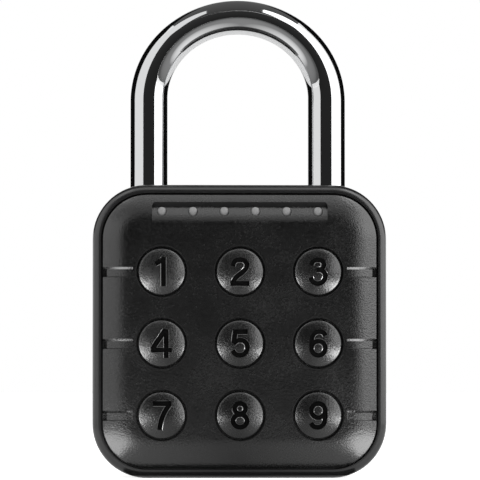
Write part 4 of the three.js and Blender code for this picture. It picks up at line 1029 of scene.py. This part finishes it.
def soft_box(name, place, towards, wide, high, glow, lean=0, only=()):
    """A soft light with a black back, so that it hides what is behind it in reflections.

    One that lights only some of the pieces has no back.
    """
    lamp = bpy.data.lights.new(name, "AREA")
    lamp.shape = "RECTANGLE"
    lamp.size = wide
    lamp.size_y = high
    lamp.energy = glow * math.pi * wide * high
    made = bpy.data.objects.new(name, lamp)
    bpy.context.scene.collection.objects.link(made)
    outward = (Vector(place) - Vector(towards)).normalized()
    facing = outward.to_track_quat("Z", "Y") @ Quaternion((0, 0, 1), math.radians(lean))
    made.location = place
    made.rotation_euler = facing.to_euler()
    made.visible_camera = False
    if not only:
        back_place = Vector(place) + outward * 0.0002
        back_board = card(f"{name}_back", back_place, towards, wide, high, 0)
        back_board.rotation_euler = facing.to_euler()
        return
    lit = bpy.data.collections.new(f"{name}_lit")
    for piece in only:
        lit.objects.link(bpy.data.objects[piece])
    made.light_linking.receiver_collection = lit


def around(azimuth, elevation, reach, height=0.05):
    """A place at an angle round the lock, 0 in front of the face and positive to the right."""
    a, e = math.radians(azimuth), math.radians(elevation)
    level_reach = reach * math.cos(e)
    return (level_reach * math.sin(a), -level_reach * math.cos(a), height + reach * math.sin(e))


def floor_strip(name, x, y, wide, high, glow, only):
    """A small glowing strip just over the floor, facing up."""
    soft_box(name, (x, y, 0.001), (x, y, 1), wide, high, glow, only=only)


middle = (0, 0, 0.05)
keys = [f"number_key_{index}" for index in range(1, 10)]
cover = ["keypad_cover"]
body_and_cover = ["padlock_body", "keypad_cover"]
whole_face = [*body_and_cover, *keys]
soft_box("left_box", (-0.9, -0.82, 1.7), (0, -0.82, 1.7), 1.41, 4.0, 0.86, lean=-12)
soft_box("right_box", (0.9, -1.07, 1.7), (0, -1.07, 1.7), 1.61, 4.0, 1.8, lean=12)
floor_strip("low_left_strip", -0.1, -0.08, 0.10, 0.11, 8.3, keys)
floor_strip("low_right_strip", 0.1, -0.08, 0.10, 0.11, 8.3, keys)
floor_strip("left_foot_strip", -0.046, -0.038, 0.036, 0.046, 2.7, cover)
floor_strip("right_foot_strip", 0.046, -0.038, 0.036, 0.046, 3.4, cover)
soft_box("high_front_box", around(0, 58, 0.6), middle, 0.7, 0.42, 0.75, only=whole_face)
soft_box("front_fade_box", around(0, 29, 0.6), middle, 0.6, 0.19, 0.35, only=cover)
soft_box("left_front_box", around(-30, 0, 0.6), middle, 0.17, 0.5, 0.75, only=body_and_cover)
soft_box("right_front_box", around(30, 0, 0.6), middle, 0.13, 0.5, 0.95, only=whole_face)
card("front_card", around(-3.2, 0, 1.0), middle, 1.39, 2.0, 0.018, 0.036)
card("left_card", (-0.099, 0.078, 0.16), (-0.019, 0.003, 0.16), 0.147, 0.19, 0.004)
card("right_card", (0.099, 0.078, 0.16), (0.019, 0.003, 0.16), 0.147, 0.19, 0.004)
# A darker strip on the floor at the foot, seen only in reflections: the lock's painted shadow.
card("foot_shadow_card", (0, -0.0115, 0.0005), (0, -0.0115, 1), 0.05, 0.004, 0.03)
card("top_card", (0, 1.5, 3.5), (0, 1.5, 0), 4.6, 10, 0.1, -0.1)


def floor_reflection(level, pools):
    """The floor in front of the lock as polished surfaces see it: grey, with pools of light."""
    made = card("floor_card", (0, -0.49, 0.0003), (0, -0.49, 1), 1, 1, 0)
    tree = made.data.materials[0].node_tree
    nodes, link = tree.nodes, tree.links.new
    total = None
    for center, reach, peak in pools:
        shifted, stretched, inner = (nodes.new("ShaderNodeVectorMath") for _ in range(3))
        shifted.operation = "SUBTRACT"
        shifted.inputs[1].default_value = center
        link(nodes["Texture Coordinate"].outputs["Object"], shifted.inputs[0])
        stretched.operation = "DIVIDE"
        stretched.inputs[1].default_value = reach
        link(shifted.outputs[0], stretched.inputs[0])
        inner.operation = "DOT_PRODUCT"
        link(stretched.outputs[0], inner.inputs[0])
        link(stretched.outputs[0], inner.inputs[1])
        fall = nodes.new("ShaderNodeMapRange")
        fall.inputs["To Min"].default_value = peak
        fall.inputs["To Max"].default_value = 0
        link(inner.outputs["Value"], fall.inputs["Value"])
        added = nodes.new("ShaderNodeMath")
        added.operation = "ADD"
        added.inputs[1].default_value = level
        link(fall.outputs[0], added.inputs[0])
        if total:
            link(total, added.inputs[1])
        total = added.outputs[0]
    link(total, nodes["Principled BSDF"].inputs["Emission Strength"])


floor_reflection(0.1, [
    ((-0.085, 0.46, 0), (0.085, 0.15, 1), 0.6),
    ((0.085, 0.46, 0), (0.085, 0.15, 1), 0.6),
    ((0, 0.49, 0), (0.6, 0.6, 1), 0.17),
])


def straight_rays(tree):
    """The Light Path node, and one for what the camera, mirrors and glass see, else none."""
    nodes, link = tree.nodes, tree.links.new
    seen = nodes.new("ShaderNodeLightPath")
    either, any_of = nodes.new("ShaderNodeMath"), nodes.new("ShaderNodeMath")
    either.operation = any_of.operation = "MAXIMUM"
    link(seen.outputs["Is Camera Ray"], either.inputs[0])
    link(seen.outputs["Is Glossy Ray"], either.inputs[1])
    link(either.outputs[0], any_of.inputs[0])
    link(seen.outputs["Is Transmission Ray"], any_of.inputs[1])
    return seen, any_of.outputs[0]


seen_glow = 0.24
camera_glow = 0.54
floor_white = bpy.data.materials.new("white_floor")
floor_white.use_nodes = True
nodes, link = floor_white.node_tree.nodes, floor_white.node_tree.links.new
shader = nodes["Principled BSDF"]
shader.inputs["Base Color"].default_value = (0.8, 0.8, 0.8, 1)
shader.inputs["Roughness"].default_value = 0.9
shader.inputs["Emission Color"].default_value = (1, 1, 1, 1)
seen, seen_at_all = straight_rays(floor_white.node_tree)
glow, to_camera = nodes.new("ShaderNodeMath"), nodes.new("ShaderNodeMath")
glow.operation = "MULTIPLY_ADD"
glow.inputs[1].default_value = seen_glow
link(seen_at_all, glow.inputs[0])
to_camera.operation = "MULTIPLY"
to_camera.inputs[1].default_value = camera_glow
link(seen.outputs["Is Camera Ray"], to_camera.inputs[0])
link(to_camera.outputs[0], glow.inputs[2])
link(glow.outputs[0], shader.inputs["Emission Strength"])
bpy.ops.object.select_all(action="DESELECT")
bpy.ops.mesh.primitive_plane_add(size=8, location=(0, 0, 0))
floor = bpy.context.object
floor.name = "floor"
floor.data.materials.append(floor_white)

sky_light = 0.35
sky_seen = 1
world = bpy.data.worlds.new("studio")
bpy.context.scene.world = world
world.use_nodes = True
nodes, link = world.node_tree.nodes, world.node_tree.links.new
sky = nodes["Background"]
sky.inputs["Color"].default_value = (1, 1, 1, 1)
seen, seen_at_all = straight_rays(world.node_tree)
level = nodes.new("ShaderNodeMapRange")
level.inputs["To Min"].default_value = sky_light
level.inputs["To Max"].default_value = sky_seen
link(seen_at_all, level.inputs["Value"])
link(level.outputs[0], sky.inputs["Strength"])
bpy.context.scene.view_settings.view_transform = "Standard"
